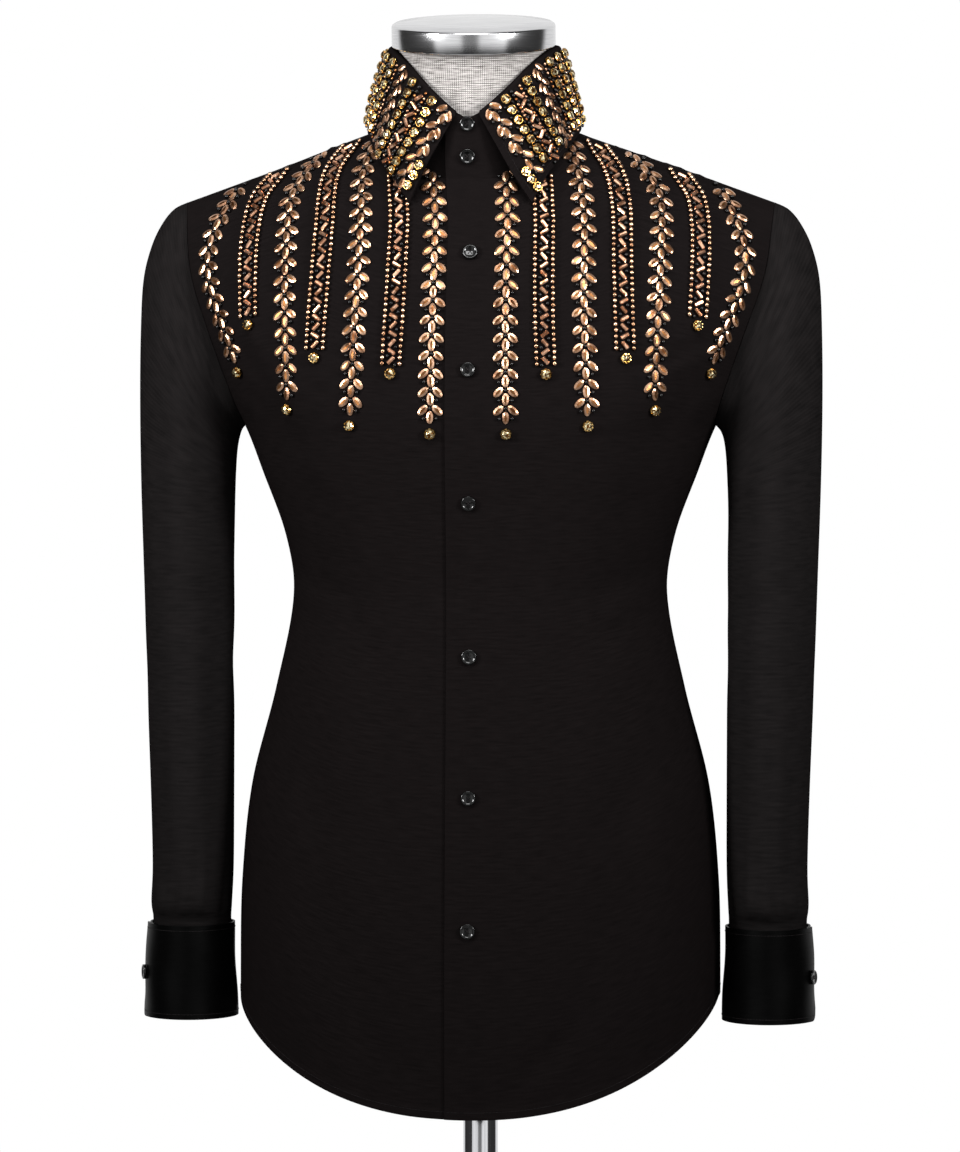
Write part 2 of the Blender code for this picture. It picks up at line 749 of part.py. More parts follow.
def fall_point(angle, drop, height=0.0):
    """A point over the fall's outside, at a share of the way from its fold to its edge.

    The angle is signed: it is positive on the wearer's left.
    """
    turn = abs(angle)
    sine, cosine = math.sin(math.radians(turn)), math.cos(math.radians(turn))
    out = FALL_WALL + FALL_CLEARANCE
    depth = STAND_TOP_FRONT if cosine > 0 else STAND_TOP_BACK
    fold = Vector(
        ((STAND_TOP_HALF_WIDTH + out) * sine, -(depth + out) * cosine, stand_top_z(turn) + FALL_LIFT)
    )
    edge = collar_edge(turn)
    outward = Vector((sine, -cosine, FALL_TILT)).normalized()
    bulge = FALL_BULGE * 4 * drop * (1 - drop)
    point = fold.lerp(edge, drop) + outward * (bulge + height)
    return Vector((math.copysign(point.x, angle) if turn else 0.0, point.y, point.z))


def make_fall(parent, cloth):
    first = COLLAR_EDGES[0].fold_angle
    span = 180 - first

    def place(u, v, height):
        """u runs from -1 to 1 across the whole collar, and v from its fold down to its edge."""
        return fall_point(math.copysign(first + span * (1 - abs(u)), u), v, height)

    def u_on(line, v, side):
        angle = line.fold_angle + (line.edge_angle - line.fold_angle) * v
        return side * (1 - (angle - first) / span)

    stones = []
    for side in (-1, 1):
        for line in COLLAR_LINES:
            run = (place(u_on(line, 1, side), 1, 0) - place(u_on(line, 0, side), 0, 0)).length
            if line.kind == "vine":
                for i in range(int((run - VINE_MARGIN) / VINE_PITCH)):
                    v = (VINE_START + i * VINE_PITCH) / run
                    for way in (-1, 1):
                        u = u_on(line, v, side) + way * VINE_SPREAD / FALL_FLAT_SIZE.x
                        size = (VINE_LEAF_LENGTH, VINE_LEAF_BREADTH, way * VINE_TURN, VINE_LEAF_HEIGHT)
                        stones.append(stone_at(place, u, v, *size))
                continue
            share = SMALL_STONE_SHARE if line.kind == "small chain" else 1
            stone, pitch = CHATON * share, CHATON_PITCH * share
            for i in range(int((run - CHAIN_MARGIN) / pitch)):
                v = 1 - (CHAIN_MARGIN + i * pitch) / run
                u = u_on(line, v, side)
                stones.append(stone_at(place, u, v, stone, stone, 45, CHATON_HEIGHT * share))
    columns = 2 * FALL_COLUMNS_PER_SIDE
    us = [-1 + 2 * i / columns for i in range(columns + 1)]
    border = [(u, 1.0) for u in us]
    border += [(1.0, 0.5)]
    border += [(u, 0.0) for u in reversed(us)]
    border += [(-1.0, 0.5)]
    inner = [(u, 0.5) for u in us[1:-1]]
    bm = relief(place, border, stones, inner, FALL_WALL, FALL_FLAT_SIZE)
    add_solid("collar_fall", bm, cloth, parent)


# Raised stones on a plate.

Stone = namedtuple("Stone", "outline peak height")
Ridge = namedtuple("Ridge", "line height")


def stone_at(place, u, v, length, breadth, turn, height):
    """A faceted stone of four sides, its long axis turned from straight down, in a plate's own u and v."""
    step = 0.01
    across = (place(u + step, v, 0) - place(u - step, v, 0)) / (2 * step)
    down = (place(u, v + step, 0) - place(u, v - step, 0)) / (2 * step)
    down_unit = down.normalized()
    normal = across.cross(down).normalized()
    side_unit = down_unit.cross(normal) * -1
    if side_unit.dot(across) < 0:
        side_unit = -side_unit
    angle = math.radians(turn)
    long_axis = down_unit * math.cos(angle) + side_unit * math.sin(angle)
    short_axis = side_unit * math.cos(angle) - down_unit * math.sin(angle)
    corners = (
        long_axis * length / 2,
        short_axis * breadth / 2,
        long_axis * -length / 2,
        short_axis * -breadth / 2,
    )
    aa, ab, bb = across.dot(across), across.dot(down), down.dot(down)
    outline = []
    for corner in corners:
        ca, cb = corner.dot(across), corner.dot(down)
        spread = aa * bb - ab * ab
        outline.append((u + (ca * bb - cb * ab) / spread, v + (cb * aa - ca * ab) / spread))
    return Stone(outline, (u, v), height)


def triangulated(loops, lines, points, scale):
    """Triangles inside the first loop. The sides of every loop and line stay edges."""
    flat, edges = [], []
    for loop in loops:
        start = len(flat)
        flat += loop
        edges += [(start + i, start + (i + 1) % len(loop)) for i in range(len(loop))]
    for line in lines:
        start = len(flat)
        flat += line
        edges += [(start + i, start + i + 1) for i in range(len(line) - 1)]
    flat += points
    coords = [Vector((p[0] * scale.x, p[1] * scale.y)) for p in flat]
    found = delaunay_2d_cdt(coords, edges, [], 1, 1e-6)
    return found[0], found[2], found[3]


def relief(place, border, stones, inner, thickness, scale, ridges=()):
    """A closed plate with stones and ridges raised on its outside, over a plain inside.

    place gives a point for u, v and a height. Border, stones and ridges are in u and v,
    and inner points keep the plain inside on the cloth's curve.
    """
    bm = bmesh.new()
    loops = [border] + [stone.outline for stone in stones]
    lines = [ridge.line for ridge in ridges]
    spots, faces, origins = triangulated(loops, lines, [stone.peak for stone in stones], scale)
    heights = [0.0] * sum(len(loop) for loop in loops)
    for ridge in ridges:
        heights += [ridge.height] * len(ridge.line)
    heights += [stone.height for stone in stones]
    tops = []
    for spot, origin in zip(spots, origins):
        height = max((heights[i] for i in origin), default=0.0)
        tops.append(bm.verts.new(place(spot.x / scale.x, spot.y / scale.y, height)))
    top_of = {i: tops[k] for k, origin in enumerate(origins) for i in origin if i < len(border)}
    for face in faces:
        bm.faces.new([tops[i] for i in face])
    spots, faces, origins = triangulated([border], [], inner, scale)
    lows = [bm.verts.new(place(s.x / scale.x, s.y / scale.y, -thickness)) for s in spots]
    low_of = {i: lows[k] for k, origin in enumerate(origins) for i in origin if i < len(border)}
    for face in faces:
        bm.faces.new([lows[i] for i in reversed(face)])
    for i in range(len(border)):
        k = (i + 1) % len(border)
        bm.faces.new((top_of[i], low_of[i], low_of[k], top_of[k]))
    return bm


# Rows of beads on the fronts.


def row_line(points, under):
    """The row's centre line on the cloth, as evenly spaced places and their length from its top."""
    ends = [Vector(p) * MM for p in points]
    ends = [2 * ends[0] - ends[1]] + ends + [2 * ends[-1] - ends[-2]]
    line = []
    for i in range(1, len(ends) - 2):
        a, b, c, d = ends[i - 1 : i + 3]
        for k in range(ROW_SEGMENTS):
            t = k / ROW_SEGMENTS
            bend = (2 * a - 5 * b + 4 * c - d) * t**2
            twist = (3 * b - a - 3 * c + d) * t**3
            line.append((2 * b + (c - a) * t + bend + twist) / 2)
    line.append(ends[-2])
    lengths = [0.0]
    for p, q in zip(line, line[1:]):
        step = front_point(q.x, q.y, under) - front_point(p.x, p.y, under)
        lengths.append(lengths[-1] + step.length)
    return line, lengths


def row_placer(points, under):
    """A function that gives a point over the front for a place across the row and a length along it."""
    line, lengths = row_line(points, under)

    def centre(length):
        i = 0
        while i < len(line) - 2 and length > lengths[i + 1]:
            i += 1
        t = (length - lengths[i]) / (lengths[i + 1] - lengths[i])
        return line[i].lerp(line[i + 1], t)

    def on_cloth(x, z):
        return front_point(x, min(z, ridge_z(x) - ROW_TOP_DROP), under)

    def normal_at(x, z):
        step = 1.5 * MM
        right = on_cloth(x + step, z) - on_cloth(x - step, z)
        up = on_cloth(x, z + step) - on_cloth(x, z - step)
        return right.cross(up).normalized()

    def place(across, length, height):
        middle = centre(length)
        ahead, behind = centre(length + 3 * MM), centre(length - 3 * MM)
        run = on_cloth(ahead.x, ahead.y) - on_cloth(behind.x, behind.y)
        side = run.cross(normal_at(middle.x, middle.y)).normalized() * -across
        x, z = middle.x + side.x, middle.y + side.z
        return on_cloth(x, z) + normal_at(x, z) * (ROW_CLEARANCE + ROW_BACKING + height)

    return place, lengths[-1]


def row_border(width, length, stations):
    """The row's outline: two long sides and a narrower tongue under the end stone."""
    half = width / 2
    neck = length - END_STONE / 2
    sides = [neck * i / stations for i in range(stations + 1)]
    foot = length + END_STONE / 2
    right = [(half, s) for s in sides]
    end = [(END_TONGUE, foot), (-END_TONGUE, foot)]
    left = [(-half, s) for s in reversed(sides)]
    return right + end + left, [(0.0, s) for s in sides[1:-1]]


def flat_stone(u, v, length, breadth, turn, height):
    angle = math.radians(turn)
    along = Vector((math.sin(angle), math.cos(angle)))
    across = Vector((math.cos(angle), -math.sin(angle)))
    centre = Vector((u, v))
    corners = (
        centre + along * length / 2,
        centre + across * breadth / 2,
        centre - along * length / 2,
        centre - across * breadth / 2,
    )
    return Stone([tuple(c) for c in corners], (u, v), height)


def leaf_stones(length):
    """Three leaves fan down from each node: one to each side and one straight down."""
    stones = []
    count = int((length - END_STONE) / LEAF_PITCH)
    start = length - END_STONE / 2 - count * LEAF_PITCH
    half = LEAF_LENGTH / 2
    for i in range(count):
        node = start + i * LEAF_PITCH
        below = node + half + LEAF_START
        stones.append(flat_stone(0, below, LEAF_LENGTH, LEAF_BREADTH, 0, LEAF_HEIGHT))
        for side in (-1, 1):
            turn = math.radians(LEAF_SPREAD)
            u = side * (LEAF_START + half * math.sin(turn))
            v = node + half * math.cos(turn)
            stones.append(flat_stone(u, v, LEAF_LENGTH, LEAF_BREADTH, side * LEAF_SPREAD, LEAF_HEIGHT))
    return stones


def rail_and_bugle_ridges(length):
    """Two raised rails of close beads, with a ridge of bugles that swings left and right between them."""
    run = length - END_STONE
    count = int(run / (2 * BUGLE_PITCH))
    step = run / count
    stations = [ROW_MARGIN + i * (run - ROW_MARGIN) / count for i in range(count + 1)]
    ridges = []
    for side in (-1, 1):
        ridges.append(Ridge([(side * RAIL_PLACE, s) for s in stations], RAIL_HEIGHT))
        ridges.append(Ridge([(side * RAIL_FOOT, s) for s in stations], 0.0))
    swings = [((-1) ** i * BUGLE_SWING, (i + 0.5) * step / 2) for i in range(2 * count)]
    ridges.append(Ridge(swings, BUGLE_HEIGHT))
    return ridges


def make_bead_rows(parent, copper, bronze):
    for name, row in BEAD_ROWS.items():
        for side in ("left", "right"):
            under = side == "right"
            place, length = row_placer(row.points, under)
            leaves = row.kind == "leaf"
            width = LEAF_ROW_WIDTH if leaves else BUGLE_ROW_WIDTH
            stones = leaf_stones(length) if leaves else []
            ridges = [] if leaves else rail_and_bugle_ridges(length)
            border, inner = row_border(width, length, int(length / LEAF_PITCH))
            stones.append(flat_stone(0, length, END_STONE, END_STONE, 45, END_STONE_HEIGHT))
            stones = [kept_inside(stone, border) for stone in stones]
            bm = relief(place, border, stones, inner, ROW_BACKING, Vector((1, 1)), ridges)
            if under:
                bmesh.ops.scale(bm, vec=(-1, 1, 1), verts=bm.verts[:])
            kind, number = name.rsplit("_", 1)
            material = copper if leaves else bronze
            add_solid(f"{kind}_{side}_{number}", bm, material, parent)


def kept_inside(stone, border):
    """The stone with its corners held just inside the row's outline."""
    half = max(u for u, v in border) - ROW_MARGIN
    top = min(v for u, v in border) + ROW_MARGIN
    bottom = max(v for u, v in border) - ROW_MARGIN
    outline = [
        (min(max(u, -half), half), min(max(v, top), bottom)) for u, v in stone.outline
    ]
    return Stone(outline, stone.peak, stone.height)


# Turned pieces: buttons, cap, pole and base.


def turned(profile, sides):
    """A closed solid turned round Z from a profile of radius and height, in millimetres."""
    bm = bmesh.new()
    rings = []
    for radius, height in profile:
        if radius == 0:
            rings.append([bm.verts.new((0, 0, height * MM))])
            continue
        ring = []
        for i in range(sides):
            angle = 2 * math.pi * i / sides
            point = Vector((radius * math.cos(angle), radius * math.sin(angle), height)) * MM
            ring.append(bm.verts.new(point))
        rings.append(ring)
    for low, high in zip(rings, rings[1:]):
        for i in range(sides):
            k = (i + 1) % sides
            corners = [low[i % len(low)], low[k % len(low)], high[k % len(high)], high[i % len(high)]]
            bm.faces.new(list(dict.fromkeys(corners)))
    return bm


def facing(point, normal):
    """Places a turned piece with its underside on a point and its axis along a normal."""
    return Matrix.Translation(point) @ normal.to_track_quat("Z", "Y").to_matrix().to_4x4()


def seat_on(obj, start, direction):
    """A place on the first wall that a line from start meets, a seam's gap clear of it."""
    mesh = obj.data
    mesh.calc_loop_triangles()
    points = [vertex.co for vertex in mesh.vertices]
    tree = BVHTree.FromPolygons(points, [tuple(triangle.vertices) for triangle in mesh.loop_triangles])
    spot, normal, _, _ = tree.ray_cast(start, direction)
    return facing(spot + normal * SEAM_GAP, normal)


def make_buttons(parent, black):
    """Buttons on the upper front, the stand's upper end and the cuffs' upper ends."""
    inwards = Vector((0, 1, 0))
    ahead = inwards * -BUTTON_REACH
    seats = {}
    for number, z in enumerate(FRONT_BUTTON_Z, start=1):
        start = ahead + Vector((0, 0, z * MM))
        seats[f"button_front_{number}"] = seat_on(bpy.data.objects["front_left"], start, inwards)
    for number, z in enumerate(STAND_BUTTON_Z, start=1):
        start = ahead + Vector((neck_shift(0, z * MM), 0, z * MM))
        seats[f"button_stand_{number}"] = seat_on(bpy.data.objects["collar_stand"], start, inwards)
    angle = math.radians(CUFF_BUTTON_ANGLE)
    for side, sign in (("left", 1), ("right", -1)):
        centre = Vector((sign * CUFF_CENTRE_X, CUFF_CENTRE_Y, CUFF_BUTTON_Z))
        outward = Vector((sign * math.cos(angle), -math.sin(angle), 0))
        cuff = bpy.data.objects[f"cuff_{side}"]
        seats[f"button_cuff_{side}"] = seat_on(cuff, centre + outward * BUTTON_REACH, -outward)
    for name, place in seats.items():
        add_solid(name, turned(BUTTON_PROFILE, BUTTON_SIDES), black, parent, place)


# The dress form.


def form_ease(z):
    """How far the form lies inside the shirt: close under the shoulders, looser at the waist."""
    lower = ease((FORM_EASE_TOP_Z - z) / (FORM_EASE_TOP_Z - FORM_EASE_WAIST_Z))
    return FORM_EASE_TOP + (FORM_EASE_WAIST - FORM_EASE_TOP) * lower


def form_ring(z):
    """A level ring of the form's torso, counter-clockwise seen from above."""
    gap = form_ease(z)
    if z < UNDERARM_Z:
        reach = half_width(z) - gap
    else:
        on_ridge = RIDGE_X_AT_NECK + (RIDGE_Z_AT_NECK - z - FORM_RIDGE_DROP) / RIDGE_SLOPE
        reach = min(arm_x(z) - FORM_ARM_INSET, on_ridge - FORM_LEAST)

    def point(turn, side):
        x = math.copysign(reach * abs(math.sin(turn)) ** (2 / ROUNDNESS), turn)
        depth = smooth_depth(x, z + FORM_VAULT_DROP, side, gap)
        return Vector((x, side * max(depth, FORM_LEAST), z))

    sweep = math.radians(FORM_SIDE_SWEEP)
    turns = [sweep * (2 * i / (FORM_COLUMNS - 1) - 1) for i in range(FORM_COLUMNS)]
    front = [point(turn, FRONT) for turn in turns]
    back = [point(turn, BACK) for turn in reversed(turns)]
    return front + [Vector((reach, 0, z))] + back + [Vector((-reach, 0, z))]


def closed_loft(rings):
    """A closed solid through rings of the same count, with flat ends."""
    bm = bmesh.new()
    loops = [[bm.verts.new(p) for p in ring] for ring in rings]
    count = len(loops[0])
    for low, high in zip(loops, loops[1:]):
        for i in range(count):
            k = (i + 1) % count
            bm.faces.new((low[i], low[k], high[k], high[i]))
    bm.faces.new(list(reversed(loops[0])))
    bm.faces.new(loops[-1])
    return bm


def make_form(parent, linen, steel):
    rings = [form_ring(z * MM) for z in FORM_SECTION_Z]
    lowest = rings[0]
    drawn_in = Vector((FORM_EDGE_SHARE, FORM_EDGE_SHARE, 1))
    rings.insert(0, [p * drawn_in - Vector((0, 0, FORM_EDGE)) for p in lowest])
    torso = add_solid("form_torso", closed_loft(rings), linen, parent)

    axis = NECK_TOP - NECK_BASE
    wide, deep = (radius * MM for radius in NECK_RADII)
    neck_mesh = bmesh.new()
    bmesh.ops.create_cone(
        neck_mesh, cap_ends=True, segments=TURNED_SIDES, radius1=1.0, radius2=1.0, depth=axis.length
    )
    bmesh.ops.scale(neck_mesh, vec=(wide, deep, 1), verts=neck_mesh.verts[:])
    tilt = facing(NECK_BASE + axis / 2, axis.normalized())
    neck = add_solid("neck_shape", neck_mesh, linen, parent, tilt)
    neck.hide_render = True
    neck.display_type = "WIRE"
    union = torso.modifiers.new("Neck", "BOOLEAN")
    union.operation = "UNION"
    union.object = neck

    seat = NECK_TOP + axis.normalized() * SEAM_GAP
    cap = turned(CAP_PROFILE, TURNED_SIDES)
    add_solid("form_cap", cap, steel, parent, facing(seat, axis.normalized()))


def make_pole_and_base(steel):
    top = HEM_ABOVE_FLOOR + FORM_SECTION_Z[0] * MM - FORM_EDGE - SEAM_GAP
    foot = BASE_SOCKET_FLOOR + SEAM_GAP
    pole = bmesh.new()
    bmesh.ops.create_cone(
        pole, cap_ends=True, segments=TURNED_SIDES, radius1=POLE_RADIUS, radius2=POLE_RADIUS, depth=top - foot
    )
    add_solid("form_pole", pole, steel, None, Matrix.Translation((0, 0, (top + foot) / 2)))
    add_solid("form_base", turned(BASE_PROFILE, TURNED_SIDES), steel, None)


def main():
    clear_scene()
    cloth = finish("black cotton", (0.012, 0.010, 0.010), 0.85)
    satin = finish("black satin", (0.012, 0.012, 0.013), 0.4)
    copper = finish("copper stones", (0.62, 0.33, 0.20), 0.25, 0.8)
    bronze = finish("bronze beads", (0.45, 0.25, 0.12), 0.3, 0.9)
    black = finish("black gloss plastic", (0.01, 0.01, 0.01), 0.1)
    linen = finish("grey linen", (0.55, 0.54, 0.51), 0.9)
    steel = finish("brushed steel", (0.6, 0.6, 0.62), 0.25, 1.0)

    hem = bpy.data.objects.new("shirt_hem_height", None)
    bpy.context.scene.collection.objects.link(hem)
    hem.location = (0, 0, HEM_ABOVE_FLOOR)

    make_panels(hem, cloth)
    make_sleeves(hem, cloth, satin)
    make_stand(hem, cloth)
    make_fall(hem, cloth)
    make_bead_rows(hem, copper, bronze)
    make_buttons(hem, black)
    make_form(hem, linen, steel)
    make_pole_and_base(steel)


main()
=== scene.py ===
# %% [markdown]
# # A beaded dress shirt on a dress form
# The object is a black cotton dress shirt whose collar and shoulders carry rows of copper stones and
# bronze beads. A limbless dress form wears it, on a chrome pole. The solids were made first, so this
# lesson dresses them: each cloth panel is drawn finely over its solid, and every bead is modelled.
# Lengths are metres. The shirt's own tables are in millimetres above the lowest point of its hem.

import math
import random
from collections import namedtuple

import bmesh
import bpy
from mathutils import Matrix, Vector


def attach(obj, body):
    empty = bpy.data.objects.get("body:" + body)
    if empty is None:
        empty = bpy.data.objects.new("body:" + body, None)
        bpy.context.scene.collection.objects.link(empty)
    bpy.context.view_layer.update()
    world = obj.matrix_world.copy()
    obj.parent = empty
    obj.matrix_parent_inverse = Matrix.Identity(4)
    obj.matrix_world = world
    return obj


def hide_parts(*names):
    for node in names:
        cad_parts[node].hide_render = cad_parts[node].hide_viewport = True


MM = 0.001
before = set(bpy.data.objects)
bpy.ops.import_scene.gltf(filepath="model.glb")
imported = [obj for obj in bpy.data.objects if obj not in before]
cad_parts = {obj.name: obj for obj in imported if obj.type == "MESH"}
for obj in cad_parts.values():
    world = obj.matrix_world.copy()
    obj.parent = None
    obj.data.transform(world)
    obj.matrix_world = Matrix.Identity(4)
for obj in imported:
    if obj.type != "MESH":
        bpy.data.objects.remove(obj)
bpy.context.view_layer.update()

# %% [markdown]
# The photograph was taken from a little to the wearer's left and a little above, with a long lens, so
# the sides stay nearly parallel. A far camera with a narrow angle gives the same view, and as a real
# lens it also keeps the collar's slight foreshortening.

# %% Camera
AZIMUTH = math.radians(4.7)
ELEVATION = math.radians(3)
DISTANCE = 6.0
VIEW_HEIGHT = 0.908
SENSOR_HEIGHT = 24
TARGET = Vector((0.0012, -0.02, 1.1585))

level = math.cos(ELEVATION)
back_from = Vector((math.sin(AZIMUTH) * level, -math.cos(AZIMUTH) * level, math.sin(ELEVATION)))
bpy.ops.object.select_all(action="DESELECT")
bpy.ops.object.camera_add(location=TARGET + back_from * DISTANCE)
camera = bpy.context.object
camera.name = "camera"
camera.rotation_euler = back_from.to_track_quat("Z", "Y").to_euler()
camera.data.sensor_fit = "VERTICAL"
camera.data.sensor_height = SENSOR_HEIGHT
camera.data.lens = SENSOR_HEIGHT / (VIEW_HEIGHT / DISTANCE)
bpy.context.scene.camera = camera
print("lens:", round(camera.data.lens, 1), "mm")

# %% [markdown]
# A finish is a small graph of nodes. One function turns a paint card's hex value into the linear
# colour that the renderer works in, and one adds a node with its links, its socket values and its
# settings. Every finish ends in the same way: patterns drive its tone and its roughness.

# %% Colours and nodes
def linear(code):
    """A linear colour from an sRGB hex value."""
    channels = [int(code[i : i + 2], 16) / 255 for i in (1, 3, 5)]
    return (*(c / 12.92 if c <= 0.04045 else ((c + 0.055) / 1.055) ** 2.4 for c in channels), 1.0)


def add_node(owner, kind, links=None, values=None, stops=None, **settings):
    """Adds a node. A link is a socket of the new node with the node and output that feed it."""
    tree = owner.node_tree
    node = tree.nodes.new("ShaderNode" + kind)
    for field, value in settings.items():
        setattr(node, field, value)
    for socket, value in (values or {}).items():
        node.inputs[socket].default_value = value
    for socket, (source, output) in (links or {}).items():
        tree.links.new(source.outputs[output], node.inputs[socket])
    if stops:
        ramp = node.color_ramp
        while len(ramp.elements) < len(stops):
            ramp.elements.new(0.5)
        for element, (place, tone) in zip(ramp.elements, stops):
            element.position = place
            element.color = tone
    return node


def new_finish(name, **values):
    """A material with values on its shader's own sockets, and a node for its coordinates."""
    material = bpy.data.materials.new(name)
    material.use_nodes = True
    shader = material.node_tree.nodes["Principled BSDF"]
    for socket, value in values.items():
        shader.inputs[socket.replace("_", " ")].default_value = value
    return material, add_node(material, "TexCoord")


def end_finish(material, tone_by, tones, span, gloss_by, rough, relief_by=None, relief=()):
    """Tone, roughness and, where it is given, relief, each from the output of a pattern."""
    stops = [(place, linear(tone)) for place, tone in zip(span, tones)]
    tone = add_node(material, "ValToRGB", {"Fac": tone_by}, stops=stops)
    gloss = add_node(material, "MapRange", {"Value": gloss_by}, {"To Min": rough[0], "To Max": rough[1]})
    sources = {"Base Color": tone.outputs["Color"], "Roughness": gloss.outputs["Result"]}
    if relief_by:
        values = {"Strength": relief[0], "Distance": relief[1]}
        sources["Normal"] = add_node(material, "Bump", {"Height": relief_by}, values).outputs["Normal"]
    shader = material.node_tree.nodes["Principled BSDF"]
    for socket, source in sources.items():
        material.node_tree.links.new(source, shader.inputs[socket])
    return material


print("middle grey is", [round(c, 4) for c in linear("#808080")])

# %% [markdown]
# Woven cotton is two sets of threads that cross. Its colour varies a little where a thread is thick or
# thin, and it scatters light softly. The weave here is two sets of waves multiplied, laid out by the
# cloth's own UV map in metres, so it follows the panel's grain. Real shirting has a thread every
# 0.25 mm, too fine for the picture, so it is drawn several times coarser.

# %% Cloth finishes
WAVE_LENGTH_AT_SCALE_ONE = 2 * math.pi / 20
THREAD_SHARE = 0.45
MIDDLE_HEIGHT = 0.51 + THREAD_SHARE / 4
SLUB_STRETCH = 0.1
CLOTH_BUMP = 0.35


def cloth_finish(name, tones, thread, slub, rough, relief, sharp=0.21, **values):
    """A woven finish: tones for thin and thick, and the threads' spacing and a slub's thickness."""
    material, chart = new_finish(name, **values)
    uv = {"Vector": (chart, "UV")}
    scale = WAVE_LENGTH_AT_SCALE_ONE / thread
    wave = {"Scale": scale, "Distortion": 0.6, "Detail": 1.0, "Detail Scale": 0.15}
    waves = [add_node(material, "TexWave", uv, wave, bands_direction=way) for way in ("X", "Y")]
    crossing = {0: (waves[0], "Fac"), 1: (waves[1], "Fac")}
    weave = add_node(material, "Math", crossing, operation="MULTIPLY")
    stretched = add_node(material, "Mapping", uv, {"Scale": (SLUB_STRETCH / slub, 1 / slub, 1.0)})
    slubs = add_node(material, "TexNoise", {"Vector": (stretched, "Vector")}, {"Scale": 1.0, "Detail": 4.0})
    # Where two threads cross the cloth is high, and between threads it is low. The tone follows that
    # height:
    # painted light on the crossings and painted shade between threads, beside the thick and thin threads'
    # own tone.
    raised = {0: (weave, 0), 2: (slubs, "Fac")}
    height = add_node(material, "Math", raised, {1: THREAD_SHARE}, operation="MULTIPLY_ADD")
    span = (MIDDLE_HEIGHT - sharp, MIDDLE_HEIGHT + sharp)
    top = (height, 0)
    return end_finish(material, top, tones, span, (slubs, "Fac"), rough, top, (CLOTH_BUMP, relief))


# Plain-woven black cotton poplin, dyed and pressed: soft, slightly warm, with hardly any shine.
black_cotton = cloth_finish(
    "black cotton poplin", ("#0b0909", "#131010"), 0.9 * MM, 1.6 * MM, (0.66, 0.8), 0.08 * MM,
    sharp=0.35, Specular_IOR_Level=0.0,
)
# The sleeves are of the same poplin, but less handled, so they look a little smoother. Their tone is
# lighter and more neutral than the body's: a painted sheen for the soft highlights on them.
sleeve_cotton_painted_sheen = cloth_finish(
    "black cotton poplin, sleeves", ("#0e0d0d", "#191717"), 0.9 * MM, 2.0 * MM, (0.5, 0.62), 0.07 * MM,
    sharp=0.35, Specular_IOR_Level=0.0,
)
# The cuffs are black satin: long floats of thread lie flat, so light slides along them.
cuff_satin = cloth_finish(
    "black satin", ("#020202", "#040404"), 0.8 * MM, 1.4 * MM, (0.3, 0.4), 0.08 * MM,
    Specular_IOR_Level=0.03, Anisotropic=0.4,
)
# The form's linen cover has grey flecks and is closely woven: matt and pale, with painted shade between its
# threads.
flecked_linen = cloth_finish(
    "flecked linen", ("#3e3a38", "#b0aca9"), 1.6 * MM, 1.0 * MM, (0.85, 0.95), 0.2 * MM,
    sharp=0.24, Specular_IOR_Level=0.2,
)
print("cloth finishes:", len(bpy.data.materials))

# %% [markdown]
# The stones are pressed glass with a metal foil behind, in copper and rose gold. A facet either sends
# a lamp straight to the eye or stays dark, so the sparkle comes from flat faces and low roughness. A
# pattern of cells as large as a stone tints each stone a little differently. The beads in the rails are
# metal-plated glass, and the small round beads are black glass.

# %% Stone and bead finishes
def plated_finish(name, tones, cell, rough, sharp=0.3, **values):
    """A plated stone or bead: one tone per cell, between a low and a high one."""
    material, chart = new_finish(name, **values)
    cells = add_node(material, "TexVoronoi", {"Vector": (chart, "Object")}, {"Scale": 1 / cell})
    span = (0.5 - sharp, 0.5 + sharp)
    return end_finish(material, (cells, "Color"), tones, span, (cells, "Distance"), rough)


BEAD_FINISHES = [
    # Foil-backed pressed glass, rose copper: bright polished slopes.
    plated_finish("copper foiled glass", ("#966e54", "#c8a286"), 5 * MM, (0.2, 0.32), Metallic=0.95),
    # Dark copper: a painted dark reflection on the table of a leaf stone, painted shade in the hollow of a
    # tube, and the own colour of small amber beads.
    plated_finish("dark copper, painted shade and amber", ("#6a4022", "#b07848"), 5 * MM, (0.14, 0.26), Metallic=0.9),
    # Claw settings of the round stones, cast and gilded.
    plated_finish("gilt brass", ("#b08038", "#dcba7a"), 3 * MM, (0.14, 0.26), Metallic=1.0),
    # Foil-backed golden glass of the round stones. Inside such a stone each cut facet mirrors another, so
    # its
    # tone carries painted reflections: small light and dark fields side by side, finer than the facets of
    # its face.
    plated_finish(
        "golden foiled glass, painted reflections", ("#6c4216", "#fff0c0"), 1.5 * MM, (0.04, 0.12), sharp=0.1, Metallic=0.95
    ),
    # Plated rail beads, an old rose gold.
    plated_finish("bronze plated glass", ("#8a664c", "#d4ae90"), 4 * MM, (0.16, 0.28), Metallic=1.0),
    # Cut tubes of silver-lined rose glass.
    plated_finish("rose lined glass", ("#9c6a4c", "#eab898"), 4 * MM, (0.14, 0.26), Metallic=0.9),
    # Jet glass: nearly black, with a hard shine.
    plated_finish(
        "jet glass", ("#020202", "#080607"), 3 * MM, (0.03, 0.07), Specular_IOR_Level=0.25, IOR=1.52
    ),
]
COPPER, PAINTED_SHADE_AND_AMBER, GILT, TOPAZ_AND_PAINTED_GLINTS, BRONZE, TUBE, JET = range(len(BEAD_FINISHES))
print(len(BEAD_FINISHES), "bead finishes")

# %% [markdown]
# The form's cap is turned steel with a fine circular grain, its pole is chromed tube, and its base is
# nickelled steel plate. The buttons are cast polyester with a hard gloss, and the sewing thread is
# black polyester.

# %% Finishes of the form, the buttons, the thread and the floor
METAL_BUMP = 0.2


